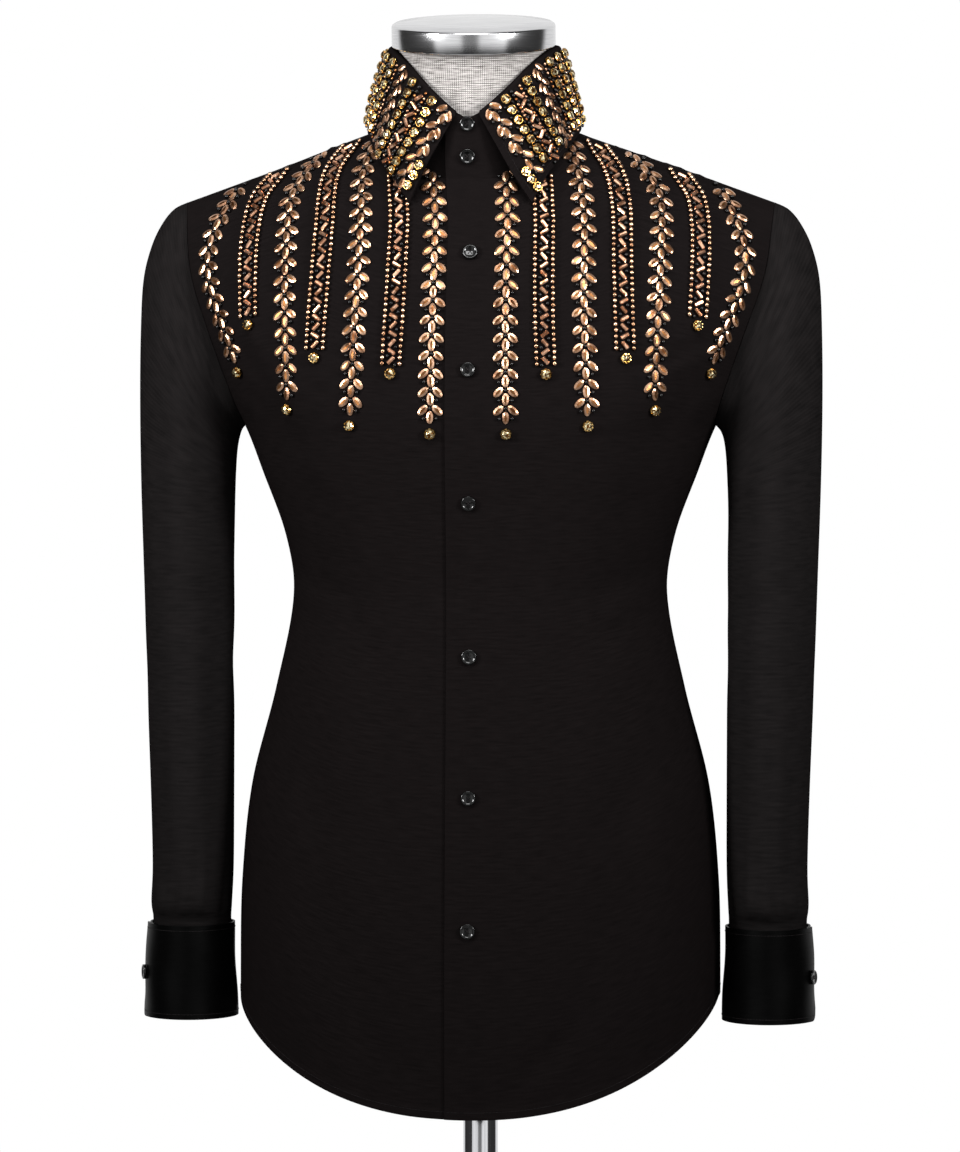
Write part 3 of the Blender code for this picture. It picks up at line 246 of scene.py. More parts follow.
def grained_metal(name, tones, stretch, rough, relief, **values):
    """A metal with fine lines. A larger number in stretch packs the lines closer along that axis."""
    material, chart = new_finish(name, Metallic=1.0, **values)
    lines = add_node(material, "Mapping", {"Vector": (chart, "Object")}, {"Scale": stretch})
    grain = add_node(material, "TexNoise", {"Vector": (lines, "Vector")}, {"Scale": 1.0, "Detail": 5.0})
    by = (grain, "Fac")
    return end_finish(material, by, tones, (0.35, 0.65), by, rough, by, (METAL_BUMP, relief))


# Brushed steel, turned: lines run round, so the shine spreads across them.
turned_steel = grained_metal(
    "turned steel", ("#cbcbcd", "#dededf"), (40, 40, 2500), (0.12, 0.2), 0.01 * MM, Anisotropic=0.3
)
# Chromed tube: a mirror, with the faint lines of the tube's drawing under the plating.
chrome = grained_metal("chromed tube", ("#c4c5c8", "#dedfe1"), (900, 900, 6), (0.06, 0.14), 0.01 * MM)
# Plate steel, nickelled and rubbed: a soft shine for the base.
rubbed_nickel = grained_metal(
    "rubbed nickel", ("#9b9b9d", "#bdbdbf"), (220, 220, 220), (0.28, 0.42), 0.02 * MM
)
# Cast polyester, polished in a drum: black with a hard even gloss.
gloss_resin = plated_finish(
    "black gloss resin", ("#020202", "#050505"), 6 * MM, (0.04, 0.08), IOR=1.5, Specular_IOR_Level=0.4
)
# Spun polyester thread: black with a slight shine on each stitch.
black_thread = plated_finish(
    "black thread", ("#0c0a0b", "#1c1819"), 2 * MM, (0.5, 0.7), Specular_IOR_Level=0.1
)
# A painted studio floor: matt and pale, with a trace of roller marks.
floor_paint = plated_finish("pale floor paint", ("#efefef", "#f0f0f0"), 300 * MM, (0.75, 0.9))
print("finishes:", len(bpy.data.materials))

# %% [markdown]
# A lesson repeats some steps for every piece. The first helper empties the selection and adds a
# primitive, because an operator acts on all that is selected. The next ones pick faces in edit mode by
# their place or direction, fix a shape's size in its mesh and join parts into one. The last one hands a
# finished piece to the frame: it rides on the object's one body.

# %% Helpers for modelling and handing over
def start(add, name, **options):
    """Adds a primitive with nothing else selected, and returns its object."""
    bpy.ops.object.select_all(action="DESELECT")
    add(**options)
    bpy.context.object.name = name
    return bpy.context.object


def cylinder(name, vertices, radius, depth, location=(0, 0, 0), **options):
    add = bpy.ops.mesh.primitive_cylinder_add
    return start(add, name, vertices=vertices, radius=radius, depth=depth, location=location, **options)


def mode(kind):
    bpy.ops.object.mode_set(mode=kind)


def pick(obj, test, kind="FACE"):
    """In edit mode, selects only the faces or points for which the test holds."""
    bpy.ops.mesh.select_mode(type=kind)
    bpy.ops.mesh.select_all(action="DESELECT")
    bm = bmesh.from_edit_mesh(obj.data)
    if kind == "FACE":
        picked = [face for face in bm.faces if test(face.calc_center_median(), face.normal)]
    else:
        picked = [point for point in bm.verts if test(point.co)]
    for part in picked:
        part.select_set(True)
    bmesh.update_edit_mesh(obj.data)


def is_top(centre, normal):
    return normal.z > 0.95


def is_end(centre, normal):
    return abs(normal.z) > 0.95


def insets(*steps, **options):
    """Insets of the picked faces, each a thickness and a depth."""
    for thickness, depth in steps:
        bpy.ops.mesh.inset(thickness=thickness, depth=depth, **options)


def work_on(obj):
    """Makes one object the only selected and active one."""
    bpy.ops.object.select_all(action="DESELECT")
    obj.select_set(True)
    bpy.context.view_layer.objects.active = obj


def fix_size():
    bpy.ops.object.transform_apply(location=True, rotation=True, scale=True)


def smooth_by(degrees):
    bpy.ops.object.shade_smooth_by_angle(angle=math.radians(degrees))


def join(parts):
    """Joins the parts into the first one."""
    for part in parts:
        work_on(part)
        fix_size()
    work_on(parts[0])
    for part in parts:
        part.select_set(True)
    bpy.ops.object.join()


def apply_modifier(obj, kind, **settings):
    work_on(obj)
    bpy.ops.object.modifier_add(type=kind)
    modifier = obj.modifiers[-1]
    for field, value in settings.items():
        setattr(modifier, field, value)
    bpy.ops.object.modifier_apply(modifier=modifier.name)


def new_object(name, points, faces):
    """An object with a mesh of its own, linked to the scene."""
    mesh = bpy.data.meshes.new(name)
    mesh.from_pydata(points, [], faces)
    obj = bpy.data.objects.new(name, mesh)
    bpy.context.scene.collection.objects.link(obj)
    return obj


def hand_over(obj, slot, *nodes):
    """The piece rides on the root and stands for its solids. Its slot is not used."""
    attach(obj, "root")
    if nodes:
        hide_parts(*nodes)
    print(f"{obj.name}: {len(obj.data.polygons)} faces")


def sin_cos(degrees):
    return math.sin(math.radians(degrees)), math.cos(math.radians(degrees))


def flipped(p):
    """The same point or direction on the other side of the middle."""
    return Vector((-p.x, p.y, p.z))


print("helpers ready")

# %% [markdown]
# The shirt's shape is a few tables. Each row of the body's table gives half the width, the depth in
# front and behind, and the place of the armhole at one height. A smooth curve runs through each column
# of a table. The same numbers made the solids, so the cloth drawn from them lies where the solids are.

# %% Body tables
def table(fields, *rows):
    """Rows whose fields have names."""
    Row = namedtuple("Row", fields)
    return [Row(*row) for row in rows]


FRONT = -1
BACK = 1
HEM_ABOVE_FLOOR = 740 * MM
SEAM_GAP = 0.3 * MM
BODY_SECTIONS = table(
    "z half_width front_depth back_depth arm_x",
    (0, 189.5, 125, 135, 186),
    (110, 190.0, 126, 136, 186),
    (180, 188.5, 123, 131, 186),
    (255, 180.5, 117, 121, 186),
    (330, 161.5, 111, 112, 186),
    (404, 147.5, 107, 106, 186),
    (450, 153.5, 111, 110, 186),
    (500, 171.5, 118, 120, 186),
    (537, 186.0, 123, 127, 186),
    (560, 200.0, 124, 130, 192.5),
    (607, 222.5, 123, 134, 209),
    (656, 240.0, 120, 135, 225.4),
    (700, 246.0, 118, 134, 231),
    (716, 248.0, 117, 133, 232),
    (800, 250.0, 110, 130, 232),
)
WAIST_Z = 404 * MM
ROUNDNESS = 2.4
UNDERARM_Z = 537 * MM
ARMHOLE_GAP = 0.45 * MM


def smooth_column(rows, key, column, unit=MM):
    """A function that passes smoothly through one column of a table."""
    places = [getattr(row, key) * unit for row in rows]
    values = [getattr(row, column) * MM for row in rows]
    last = len(rows) - 1
    slopes = []
    for i in range(last + 1):
        low, high = max(i - 1, 0), min(i + 1, last)
        slopes.append((values[high] - values[low]) / (places[high] - places[low]))

    def value(place):
        place = min(max(place, places[0]), places[-1])
        i = 0
        while i < last - 1 and place > places[i + 1]:
            i += 1
        span = places[i + 1] - places[i]
        t = (place - places[i]) / span
        rise = values[i + 1] - values[i]
        out, into = slopes[i] * span, slopes[i + 1] * span
        return values[i] + out * t + (3 * rise - 2 * out - into) * t**2 + (out + into - 2 * rise) * t**3

    return value


half_width = smooth_column(BODY_SECTIONS, "z", "half_width")
arm_x = smooth_column(BODY_SECTIONS, "z", "arm_x")
side_depth = {
    FRONT: smooth_column(BODY_SECTIONS, "z", "front_depth"),
    BACK: smooth_column(BODY_SECTIONS, "z", "back_depth"),
}
print("waist half width:", round(half_width(WAIST_Z) / MM, 1), "mm")

# %% [markdown]
# The shoulders are a vault: below the armpits the body is a rounded tube, and above them each side
# curves over to a sloping ridge. The neck of this form stands a little to the wearer's right of the
# shoulders' middle, so the cloth near the neck shifts with it.

# %% Shoulders and neck shift
VAULT_BASE_Z = 500 * MM
RIDGE_Z_AT_NECK = 768 * MM
RIDGE_X_AT_NECK = 78 * MM
RIDGE_SLOPE = 0.36
SHOULDER_TIP_X = 232 * MM
VAULT_POWERS = {FRONT: (2.4, 1.6), BACK: (4.0, 2.0)}
NECK_SHIFT = -4.5 * MM
NECK_SHIFT_LOW = 690 * MM
NECK_SHIFT_HIGH = 750 * MM
NECK_SHIFT_NEAR = 80 * MM
NECK_SHIFT_FAR = 170 * MM


def ease(t):
    t = min(max(t, 0.0), 1.0)
    return t * t * (3 - 2 * t)


def in_frame(p):
    """A point of the tables in the frame: moved with the neck, and up from the floor."""
    up = ease((p.z - NECK_SHIFT_LOW) / (NECK_SHIFT_HIGH - NECK_SHIFT_LOW))
    near = ease((NECK_SHIFT_FAR - abs(p.x)) / (NECK_SHIFT_FAR - NECK_SHIFT_NEAR))
    return Vector((p.x + NECK_SHIFT * up * near, p.y, p.z + HEM_ABOVE_FLOOR))


def ridge_z(x):
    return RIDGE_Z_AT_NECK - RIDGE_SLOPE * (abs(x) - RIDGE_X_AT_NECK)


def smooth_depth(x, z, side, ease_inside=0.0):
    """How far the body lies from the shoulder line, before its folds, drawn in by an ease."""
    share = min(abs(x) / (half_width(z) - ease_inside), 1.0)
    depth = (side_depth[side](z) - ease_inside) * (1 - share**ROUNDNESS) ** (1 / ROUNDNESS)
    if z > VAULT_BASE_Z:
        power, root = VAULT_POWERS[side]
        climb = min((z - VAULT_BASE_Z) / (ridge_z(x) - VAULT_BASE_Z), 1.0)
        depth *= (1 - climb**power) ** (1 / root)
    return depth


print("shoulder tip at", round(ridge_z(SHOULDER_TIP_X) / MM, 1), "mm above the hem")

# %% [markdown]
# Cloth creases where it is pulled and where there is too much of it. The broad folds were worked out
# with the solids and are the same on both sides. The finer creases belong to the cloth alone, and differ
# from side to side: drags from the armpits, short pulls at the waist, slight waves above the hem. A
# crease is a trough with a soft ridge beside it.

# %% Folds and creases of the body
FOLD = "x0 z0 x1 z1 width depth"
BROAD_FOLDS = {
    FRONT: table(
        FOLD,
        (196, 590, 132, 520, 17, 3.5), (190, 556, 126, 470, 16, 3.0), (150, 440, 80, 395, 20, 2.2),
        (150, 385, 70, 360, 20, 2.0), (165, 300, 95, 210, 24, 2.5), (120, 190, 70, 40, 24, 2.0),
    ),
    BACK: table(
        FOLD,
        (196, 590, 118, 505, 18, 3.5), (92, 480, 84, 200, 20, 4.0), (40, 470, 44, 260, 20, 2.5),
        (150, 430, 70, 380, 20, 2.5), (160, 300, 110, 160, 24, 2.5),
    ),
}
FINE_CREASES = {
    FRONT: table(
        FOLD,
        (-184, 604, -148, 548, 7, 2.0), (-178, 566, -132, 520, 7, 1.5), (-174, 540, -120, 486, 8, 1.0),
        (185, 606, 140, 586, 6, 1.8), (180, 574, 142, 528, 8, 1.7), (172, 540, 128, 500, 7, 1.0),
        (-148, 424, -96, 402, 8, 1.4), (-150, 396, -92, 386, 7, 1.0), (150, 428, 98, 406, 8, 1.3),
        (148, 398, 102, 374, 7, 1.0), (74, 62, 24, 14, 9, 1.2), (98, 92, 48, 34, 9, 1.0),
        (-86, 70, -40, 26, 10, 0.8), (-120, 330, -128, 120, 18, 1.2), (118, 330, 132, 100, 16, 1.2),
        (-60, 300, -72, 60, 16, 0.8), (62, 320, 56, 90, 16, 0.8), (4, 480, 60, 487, 6, 0.5),
        (-6, 360, -58, 366, 6, 0.5), (4, 250, 52, 256, 7, 0.5),
    ),
    BACK: table(
        FOLD,
        (-186, 600, -130, 548, 8, 1.8), (184, 596, 132, 560, 8, 1.6), (-150, 420, -80, 400, 8, 1.4),
        (150, 414, 84, 388, 8, 1.4), (-60, 440, -66, 240, 14, 1.2), (66, 430, 60, 230, 14, 1.2),
        (8, 420, 2, 240, 14, 1.0), (-120, 300, -130, 60, 18, 1.2), (116, 310, 128, 60, 18, 1.2),
        (-140, 690, -60, 655, 9, 0.9), (140, 690, 60, 660, 9, 0.9),
    ),
}
# A fold fades past its ends, and lies flat where the body is shallow, as at the side seams.
PAST_END = 0.25
FADE = 0.4
FULL_FOLD_DEPTH = 40 * MM
CREASE_REACH = 90 * MM
CREASE_WIDTHS = 4


def trough(fold, x, z):
    """A share from 0 to 1 along the fold that fades at its ends, and the distance across it."""
    run = Vector((fold.x1 - fold.x0, fold.z1 - fold.z0)) * MM
    here = Vector((x - fold.x0 * MM, z - fold.z0 * MM))
    along = here.dot(run) / run.length_squared
    offset = here - run * min(max(along, 0.0), 1.0)
    across = math.copysign(offset.length, run.cross(offset))
    fade = ease((along + PAST_END) / FADE) * ease((1 + PAST_END - along) / FADE)
    return fade, across / (fold.width * MM)


def ridged(away, ridge=0.5, place=1.7):
    """A crease's profile: a trough and, at its place, a share of a ridge."""
    return math.exp(-away * away) - ridge * math.exp(-((away - place) ** 2))


def broad_depth(x, z, side):
    deep = 0.0
    for fold in BROAD_FOLDS[side]:
        fade, away = trough(fold, abs(x), z)
        deep += fold.depth * MM * fade * math.exp(-away * away)
    return deep


def crease_depth(x, z, side):
    deep = 0.0
    for fold in FINE_CREASES[side]:
        if abs(x - (fold.x0 + fold.x1) / 2 * MM) <= CREASE_REACH:
            fade, away = trough(fold, x, z)
            if fade > 0 and abs(away) < CREASE_WIDTHS:
                deep += fold.depth * MM * fade * ridged(away)
    return deep


def body_depth(x, z, side):
    depth = smooth_depth(x, z, side)
    return depth - broad_depth(x, z, side) * ease(depth / FULL_FOLD_DEPTH)


def cloth_depth(x, z, side):
    depth = body_depth(x, z, side)
    return depth - crease_depth(x, z, side) * ease(depth / FULL_FOLD_DEPTH)


print(sum(len(group) for group in FINE_CREASES.values()), "fine creases")

# %% [markdown]
# A grid of points becomes a panel: rows run up and columns run to the right, seen from outside. Its UV
# map is in metres of cloth, so the weave keeps one size everywhere. Solidify then gives the sheet its
# thickness towards the inside.

# %% From grid to cloth
def grid_faces(rows, columns, closed):
    faces = []
    for i in range(rows - 1):
        for j in range(columns if closed else columns - 1):
            k = (j + 1) % columns
            low, high = i * columns, (i + 1) * columns
            faces.append((low + j, low + k, high + k, high + j))
    return faces


def running_lengths(points):
    lengths = [0.0]
    for p, q in zip(points, points[1:]):
        lengths.append(lengths[-1] + (q - p).length)
    return lengths


def cloth_piece(name, grid, finish, thickness, slot, node, closed=False):
    """A sheet of cloth from a grid of points in the tables' frame, handed over."""
    rows, columns = len(grid), len(grid[0])
    obj = new_object(name, [in_frame(p) for row in grid for p in row], grid_faces(rows, columns, closed))
    across = [running_lengths(row + row[:1]) for row in grid]
    up = running_lengths([row[columns // 2] for row in grid])
    chart = obj.data.uv_layers.new(name="cloth")
    for face in obj.data.polygons:
        for corner, loop in enumerate(face.loop_indices):
            i, j = divmod(obj.data.loops[loop].vertex_index, columns)
            if closed and j == 0 and corner in (1, 2):
                j = columns
            chart.data[loop].uv = (across[i][j], up[i])
    obj.data.materials.append(finish)
    apply_modifier(obj, "SOLIDIFY", thickness=thickness, offset=-1)
    smooth_by(50)
    hand_over(obj, slot, node)


print("cloth helpers ready")

# %% [markdown]
# A shirt front is cut with a straight edge at the opening, a curved neck, a sloping shoulder, an
# armhole and a curved tail. Each point of the grid is found from its share between those edges. The
# wearer's left front laps over the right one, so the right front is drawn in a little where it lies
# under. The hem is turned up twice, which makes a slightly thicker band of 6 mm.

# %% Edges of the panels
LAP = 18 * MM
LAP_DROP = 2.1 * MM
LAP_BLEND_START = 50 * MM
LAP_BLEND_END = 20 * MM
HEM_RISE = 90 * MM
HEM_SHAPE = (0.5, 0.3, 0.2)
BACK_TAIL_LIFT = 12 * MM
NECK_HALF_WIDTH = 70 * MM
NECK_FRONT = 69 * MM
NECK_BACK = 64.5 * MM
VAULT_STEPS = 6


def z_on_body(x, y):
    """The height where the vaulted body is this far in front of the shoulder line or behind it."""
    side = FRONT if y < 0 else BACK
    power, root = VAULT_POWERS[side]
    z = ridge_z(x)
    for _ in range(VAULT_STEPS):
        share = min(abs(x) / half_width(z), 1.0)
        full = side_depth[side](z) * (1 - share**ROUNDNESS) ** (1 / ROUNDNESS)
        climb = (1 - min(abs(y) / full, 1.0) ** root) ** (1 / power)
        z = VAULT_BASE_Z + (ridge_z(x) - VAULT_BASE_Z) * climb
    return z


def neck_point(angle):
    """A point of the neckline. The angle is 0 at the centre front and 90 at the wearer's left."""
    sine, cosine = sin_cos(angle)
    x = NECK_HALF_WIDTH * sine
    y = -cosine * (NECK_FRONT if cosine > 0 else NECK_BACK)
    return Vector((x, y, z_on_body(x, y)))


def hem_z(x_share, side):
    """The tail's curve: shares of a circle's arc and of two powers that lift its ends."""
    arc, cubed, squared = HEM_SHAPE
    sine = min(abs(x_share), 1.0)
    cosine = math.sqrt(1 - sine * sine)
    shape = arc * (1 - cosine) + cubed * sine**3 + squared * sine**2
    lowest = 0.0 if side == FRONT else BACK_TAIL_LIFT
    return lowest + (HEM_RISE - lowest) * shape


def lap_inset(x, z):
    """How far the lower front lies under the upper one. Its own side of the centre is +x here."""
    slope = (body_depth(x, z + MM, FRONT) - body_depth(x, z - MM, FRONT)) / (2 * MM)
    near = ease((LAP_BLEND_START - x) / (LAP_BLEND_START - LAP_BLEND_END))
    return LAP_DROP * near * math.sqrt(1 + slope * slope)


print("neck point at the centre front:", [round(c / MM, 1) for c in neck_point(0)])

# %% Points of a panel
HEM_BAND = (0.0, 1.2 * MM, 5.6 * MM, 6.4 * MM)
HEM_THICKER = 0.35 * MM
HEM_ROUNDS = 3
BODY_ROWS = 88
ARM_ROWS = 72
NECK_COLUMNS = {FRONT: 30, BACK: 24}
SHOULDER_COLUMNS = 30


def column_x(share, z, edge_x):
    a = half_width(z)
    edge = math.asin(min(abs(edge_x) / a, 1.0) ** (ROUNDNESS / 2)) * (1 if edge_x > 0 else -1)
    angle = edge + (math.pi / 2 - edge) * share
    return math.copysign(a * abs(math.sin(angle)) ** (2 / ROUNDNESS), angle)


def panel_point(x, z, side, under, mirror, thicker=0.0):
    """A point of a panel's outside. A mirrored panel is drawn on +x and read with its own creases."""
    inset = lap_inset(x, z) if under else 0.0
    depth = max(cloth_depth(-x if mirror else x, z, side) - inset + thicker, SEAM_GAP / 2)
    return Vector((x, side * depth, z))


def half_panel(tops, edge_x, side, under=False, mirror=False):
    """Rows of points of a panel, from its edge near the centre to its side seam and armhole."""
    last = len(tops) - 1
    shares = [rise / UNDERARM_Z for rise in HEM_BAND] + [i / BODY_ROWS for i in range(2, BODY_ROWS)]
    grid = []
    for number, share in enumerate(shares):
        thicker = HEM_THICKER if number < len(HEM_BAND) - 1 else 0.0
        row = []
        for j in range(last + 1):
            z = UNDERARM_Z * share
            for _ in range(HEM_ROUNDS):
                x = column_x(j / last, z, edge_x)
                hem = hem_z(x / half_width(z), side)
                z = hem + (UNDERARM_Z - hem) * share
            row.append(panel_point(x, z, side, under, mirror, thicker))
        grid.append(row)
    for i in range(ARM_ROWS + 1):
        row = []
        rise = math.sin(math.pi / 2 * i / ARM_ROWS) ** 2
        for j, top in enumerate(tops):
            z = UNDERARM_Z + (top.z - UNDERARM_Z) * rise
            low = (column_x(j / last, UNDERARM_Z, edge_x) - edge_x) / (arm_x(UNDERARM_Z) - edge_x)
            high = (top.x - edge_x) / (arm_x(top.z) - edge_x)
            x = edge_x + (arm_x(z) - edge_x) * (low + (high - low) * i / ARM_ROWS)
            row.append(panel_point(x, z, side, under, mirror))
        grid.append(row)
    return grid


def mirrored(grid):
    return [[flipped(p) for p in reversed(row)] for row in grid]


span = SHOULDER_TIP_X - NECK_HALF_WIDTH
shoulder_xs = [NECK_HALF_WIDTH + span * i / SHOULDER_COLUMNS for i in range(1, SHOULDER_COLUMNS + 1)]
shoulder_tops = [Vector((x, 0, ridge_z(x))) for x in shoulder_xs]
print("rows in a panel:", len(HEM_BAND) + BODY_ROWS - 2 + ARM_ROWS + 1)

# %% The two fronts
neck_start = -math.degrees(math.asin(LAP / NECK_HALF_WIDTH))
columns = NECK_COLUMNS[FRONT]
neck_tops = [neck_point(neck_start + (90 - neck_start) * i / columns) for i in range(columns + 1)]
front_tops = neck_tops + shoulder_tops
left_grid = half_panel(front_tops, -LAP, FRONT)
right_grid = mirrored(half_panel(front_tops, -LAP, FRONT, under=True, mirror=True))
PANEL_WALL = 1.2 * MM
for side, grid in (("left", left_grid), ("right", right_grid)):
    cloth_piece(
        f"{side}_front", grid, black_cotton, PANEL_WALL, "shirt_cloth", f"front_{side}",
    )

# %% [markdown]
# The back is one piece from tail to shoulder seams. The photograph doesn't show it, so it is finished
# plainly, with the soft folds that a waisted shirt makes over a form. It is drawn as one half, and the
# other half is its mirror image with creases of its own.

# %% The back
columns = NECK_COLUMNS[BACK]
neck_tops = [neck_point(90 + 90 * i / columns) for i in range(columns, -1, -1)]
back_tops = neck_tops + shoulder_tops
wearers_left = half_panel(back_tops, 0.0, BACK)
wearers_right = half_panel(back_tops, 0.0, BACK, mirror=True)
back_grid = [
    [Vector(p) for p in reversed(row)] + [flipped(p) for p in other[1:]]
    for row, other in zip(wearers_left, wearers_right)
]
cloth_piece(
    "back_panel", back_grid, black_cotton, PANEL_WALL, "shirt_cloth", "back"
)

# %% [markdown]
# A sleeve is a tube whose upper end is cut to the armhole. Here it is a stack of rings that lean from
# an outer point to an inner one, and the first ring is the armhole itself. Curves run down through the
# rings, so the tube is smooth between them. The long soft folds come from the elbow's ease, and short
# pleats gather the lower end into the cuff.

# %% Sleeve tables
SLEEVE_RINGS = table(
    "outer_x outer_z inner_x inner_z half_depth centre_y armhole_share",
    (232.4, 712, 186.5, 537, 52, 3, 1.0),
    (243.5, 706.5, 189.6, 533.5, 55, 3, 0.8),
    (253, 695, 191.2, 530, 57, 3, 0.5),
    (261.5, 677, 192.3, 526, 59, 3, 0.25),
    (267.5, 651, 193.2, 521, 61, 2, 0.1),
    (269.5, 610, 194.0, 514, 63, 1, 0),
    (270, 555, 194.6, 503, 63, 0, 0),
    (269, 490, 195.0, 480, 62, -2, 0),
    (266.5, 410, 195.4, 410, 60, -4, 0),
    (264, 330, 195.6, 330, 57, -7, 0),
    (261, 250, 195.6, 250, 54, -10, 0),
    (259.5, 190, 195.8, 190, 51, -12, 0),
    (260.5, 160, 197.0, 160, 48, -13, 0),
    (259.2, 147.5, 197.6, 147.5, 39.3, -13, 0),
    (259.2, 136, 197.4, 136, 39.4, -13, 0),
)
SLEEVE_TUCK_Z = 150 * MM
TUCK_BLEND = 4 * MM
# Height is along the sleeve in millimetres and spread is round it in degrees, for fine and broad ones.
SLEEVE_FOLD = "angle z height spread depth"
BROAD_SLEEVE_FOLDS = table(
    SLEEVE_FOLD,
    (135, 470, 26, 40, 3.0), (112, 395, 22, 50, 3.0), (68, 340, 24, 45, 2.5), (248, 430, 26, 50, 3.0),
    (225, 350, 22, 45, 2.5), (45, 165, 14, 14, -3.0), (112, 165, 14, 14, -3.0),
)
FINE_SLEEVE_FOLDS = {
    "left": table(
        SLEEVE_FOLD,
        (120, 560, 60, 11, 1.2), (60, 520, 90, 12, 1.0), (82, 300, 110, 10, 1.0), (128, 300, 70, 9, 1.2),
        (100, 205, 30, 7, 0.9), (50, 240, 60, 9, 0.9), (30, 420, 90, 12, 0.9), (230, 520, 80, 12, 1.0),
        (280, 330, 110, 12, 1.0),
    ),
    "right": table(
        SLEEVE_FOLD,
        (116, 545, 70, 11, 1.2), (66, 500, 80, 12, 1.0), (90, 290, 100, 10, 1.1), (134, 320, 80, 9, 1.1),
        (106, 200, 34, 7, 0.9), (54, 250, 60, 9, 0.8), (34, 400, 90, 12, 0.9), (238, 500, 80, 12, 1.0),
        (276, 350, 110, 12, 1.0),
    ),
}
PLEAT_ANGLES = (40, 75, 104, 150, 215, 262, 318)
PLEAT_Z = 152
PLEAT_SPREAD = 6
PLEAT_HEIGHTS = (26, 32, 38)
PLEAT_DEPTH = 1.4 * MM
PLEAT_RIDGE = (0.6, 1.8)
print(len(SLEEVE_RINGS), "rings in a sleeve")

# %% Points of a sleeve
def armhole_point(angle):
    """A point of the armhole. The angle is 0 at the shoulder tip and 90 at its front."""
    turn = angle / (2 * math.pi)
    side = FRONT if turn <= 0.5 else BACK
    rise = math.sin(math.pi / 2 * abs(1 - 2 * turn)) ** 2
    z = UNDERARM_Z + (ridge_z(SHOULDER_TIP_X) - UNDERARM_Z) * rise
    depth = body_depth(arm_x(z), z, side)
    return Vector((arm_x(z) + ARMHOLE_GAP, side * depth, z))


def leaning_point(ring, angle):
    outer = Vector((ring.outer_x, ring.centre_y, ring.outer_z)) * MM
    inner = Vector((ring.inner_x, ring.centre_y, ring.inner_z)) * MM
    sweep = (outer - inner) / 2 * math.cos(angle)
    return (outer + inner) / 2 + sweep - Vector((0, ring.half_depth * MM * math.sin(angle), 0))


def curve_between(a, b, c, d, t):
    bend = (2 * a - 5 * b + 4 * c - d) * t**2
    twist = (3 * b - a - 3 * c + d) * t**3
    return (2 * b + (c - a) * t + bend + twist) / 2


def sleeve_fold_depth(angle, z, side):
    """How deep the sleeve's folds are here, in metres."""

    def offsets(fold_angle, fold_z, spread, height):
        turn = (math.degrees(angle) - fold_angle + 180) % 360 - 180
        return turn / spread, (z / MM - fold_z) / height

    deep = 0.0
    for fold in BROAD_SLEEVE_FOLDS:
        away, along = offsets(fold.angle, fold.z, fold.spread, fold.height)
        deep += fold.depth * MM * math.exp(-away * away - along * along)
    for fold in FINE_SLEEVE_FOLDS[side]:
        away, along = offsets(fold.angle, fold.z, fold.spread, fold.height)
        deep += fold.depth * MM * math.exp(-along * along) * ridged(away)
    for number, pleat in enumerate(PLEAT_ANGLES):
        away, along = offsets(pleat, PLEAT_Z, PLEAT_SPREAD, PLEAT_HEIGHTS[number % 3])
        deep += PLEAT_DEPTH * math.exp(-along * along) * ridged(away, *PLEAT_RIDGE)
    return deep


print("armhole's lowest point:", [round(c / MM, 1) for c in armhole_point(math.pi)])

# %% The two sleeves
SLEEVE_COLUMNS = 80
SLEEVE_STEPS = 11
FOLDS_START_RING = 4
FOLDS_BLEND_RINGS = 2


def sleeve_rows(side):
    """Rings from the armhole down into the cuff, as rows that run up."""
    angles = [2 * math.pi * i / SLEEVE_COLUMNS for i in range(SLEEVE_COLUMNS)]
    seam = [armhole_point(angle) - leaning_point(SLEEVE_RINGS[0], angle) for angle in angles]
    rings = [
        [leaning_point(ring, angle) + to_seam * ring.armhole_share for angle, to_seam in zip(angles, seam)]
        for ring in SLEEVE_RINGS
    ]
    last = len(rings) - 1
    rows = []
    for step in range(last * SLEEVE_STEPS + 1):
        k = min(step // SLEEVE_STEPS, last - 1)
        t = step / SLEEVE_STEPS - k
        near = [rings[min(max(k + n, 0), last)] for n in (-1, 0, 1, 2)]
        row = [curve_between(a, b, c, d, t) for a, b, c, d in zip(*near)]
        centre = sum(row, Vector()) / len(row)
        begun = ease((k + t - FOLDS_START_RING) / FOLDS_BLEND_RINGS)
        for number, (angle, point) in enumerate(zip(angles, row)):
            inward = Vector((centre.x - point.x, centre.y - point.y, 0))
            ended = ease((point.z - SLEEVE_TUCK_Z) / TUCK_BLEND)
            deep = sleeve_fold_depth(angle, point.z, side) * begun * ended
            row[number] = point + inward.normalized() * deep
        rows.append(row)
    return [list(reversed(row)) for row in reversed(rows)]


for side, grid in (("left", sleeve_rows("left")), ("right", mirrored(sleeve_rows("right")))):
    cloth_piece(
        f"{side}_sleeve", grid, sleeve_cotton_painted_sheen, PANEL_WALL, "shirt_cloth", f"sleeve_{side}",
        closed=True,
    )

# %% [markdown]
# The cuff is a single band of satin that laps over itself on the outer side, where a button closes it.
# Its lower outer corner is rounded. The band is a spiral seen from above: the end that lies under is a
# cuff's thickness further in, and the band comes out to full size within a sixth of a turn.

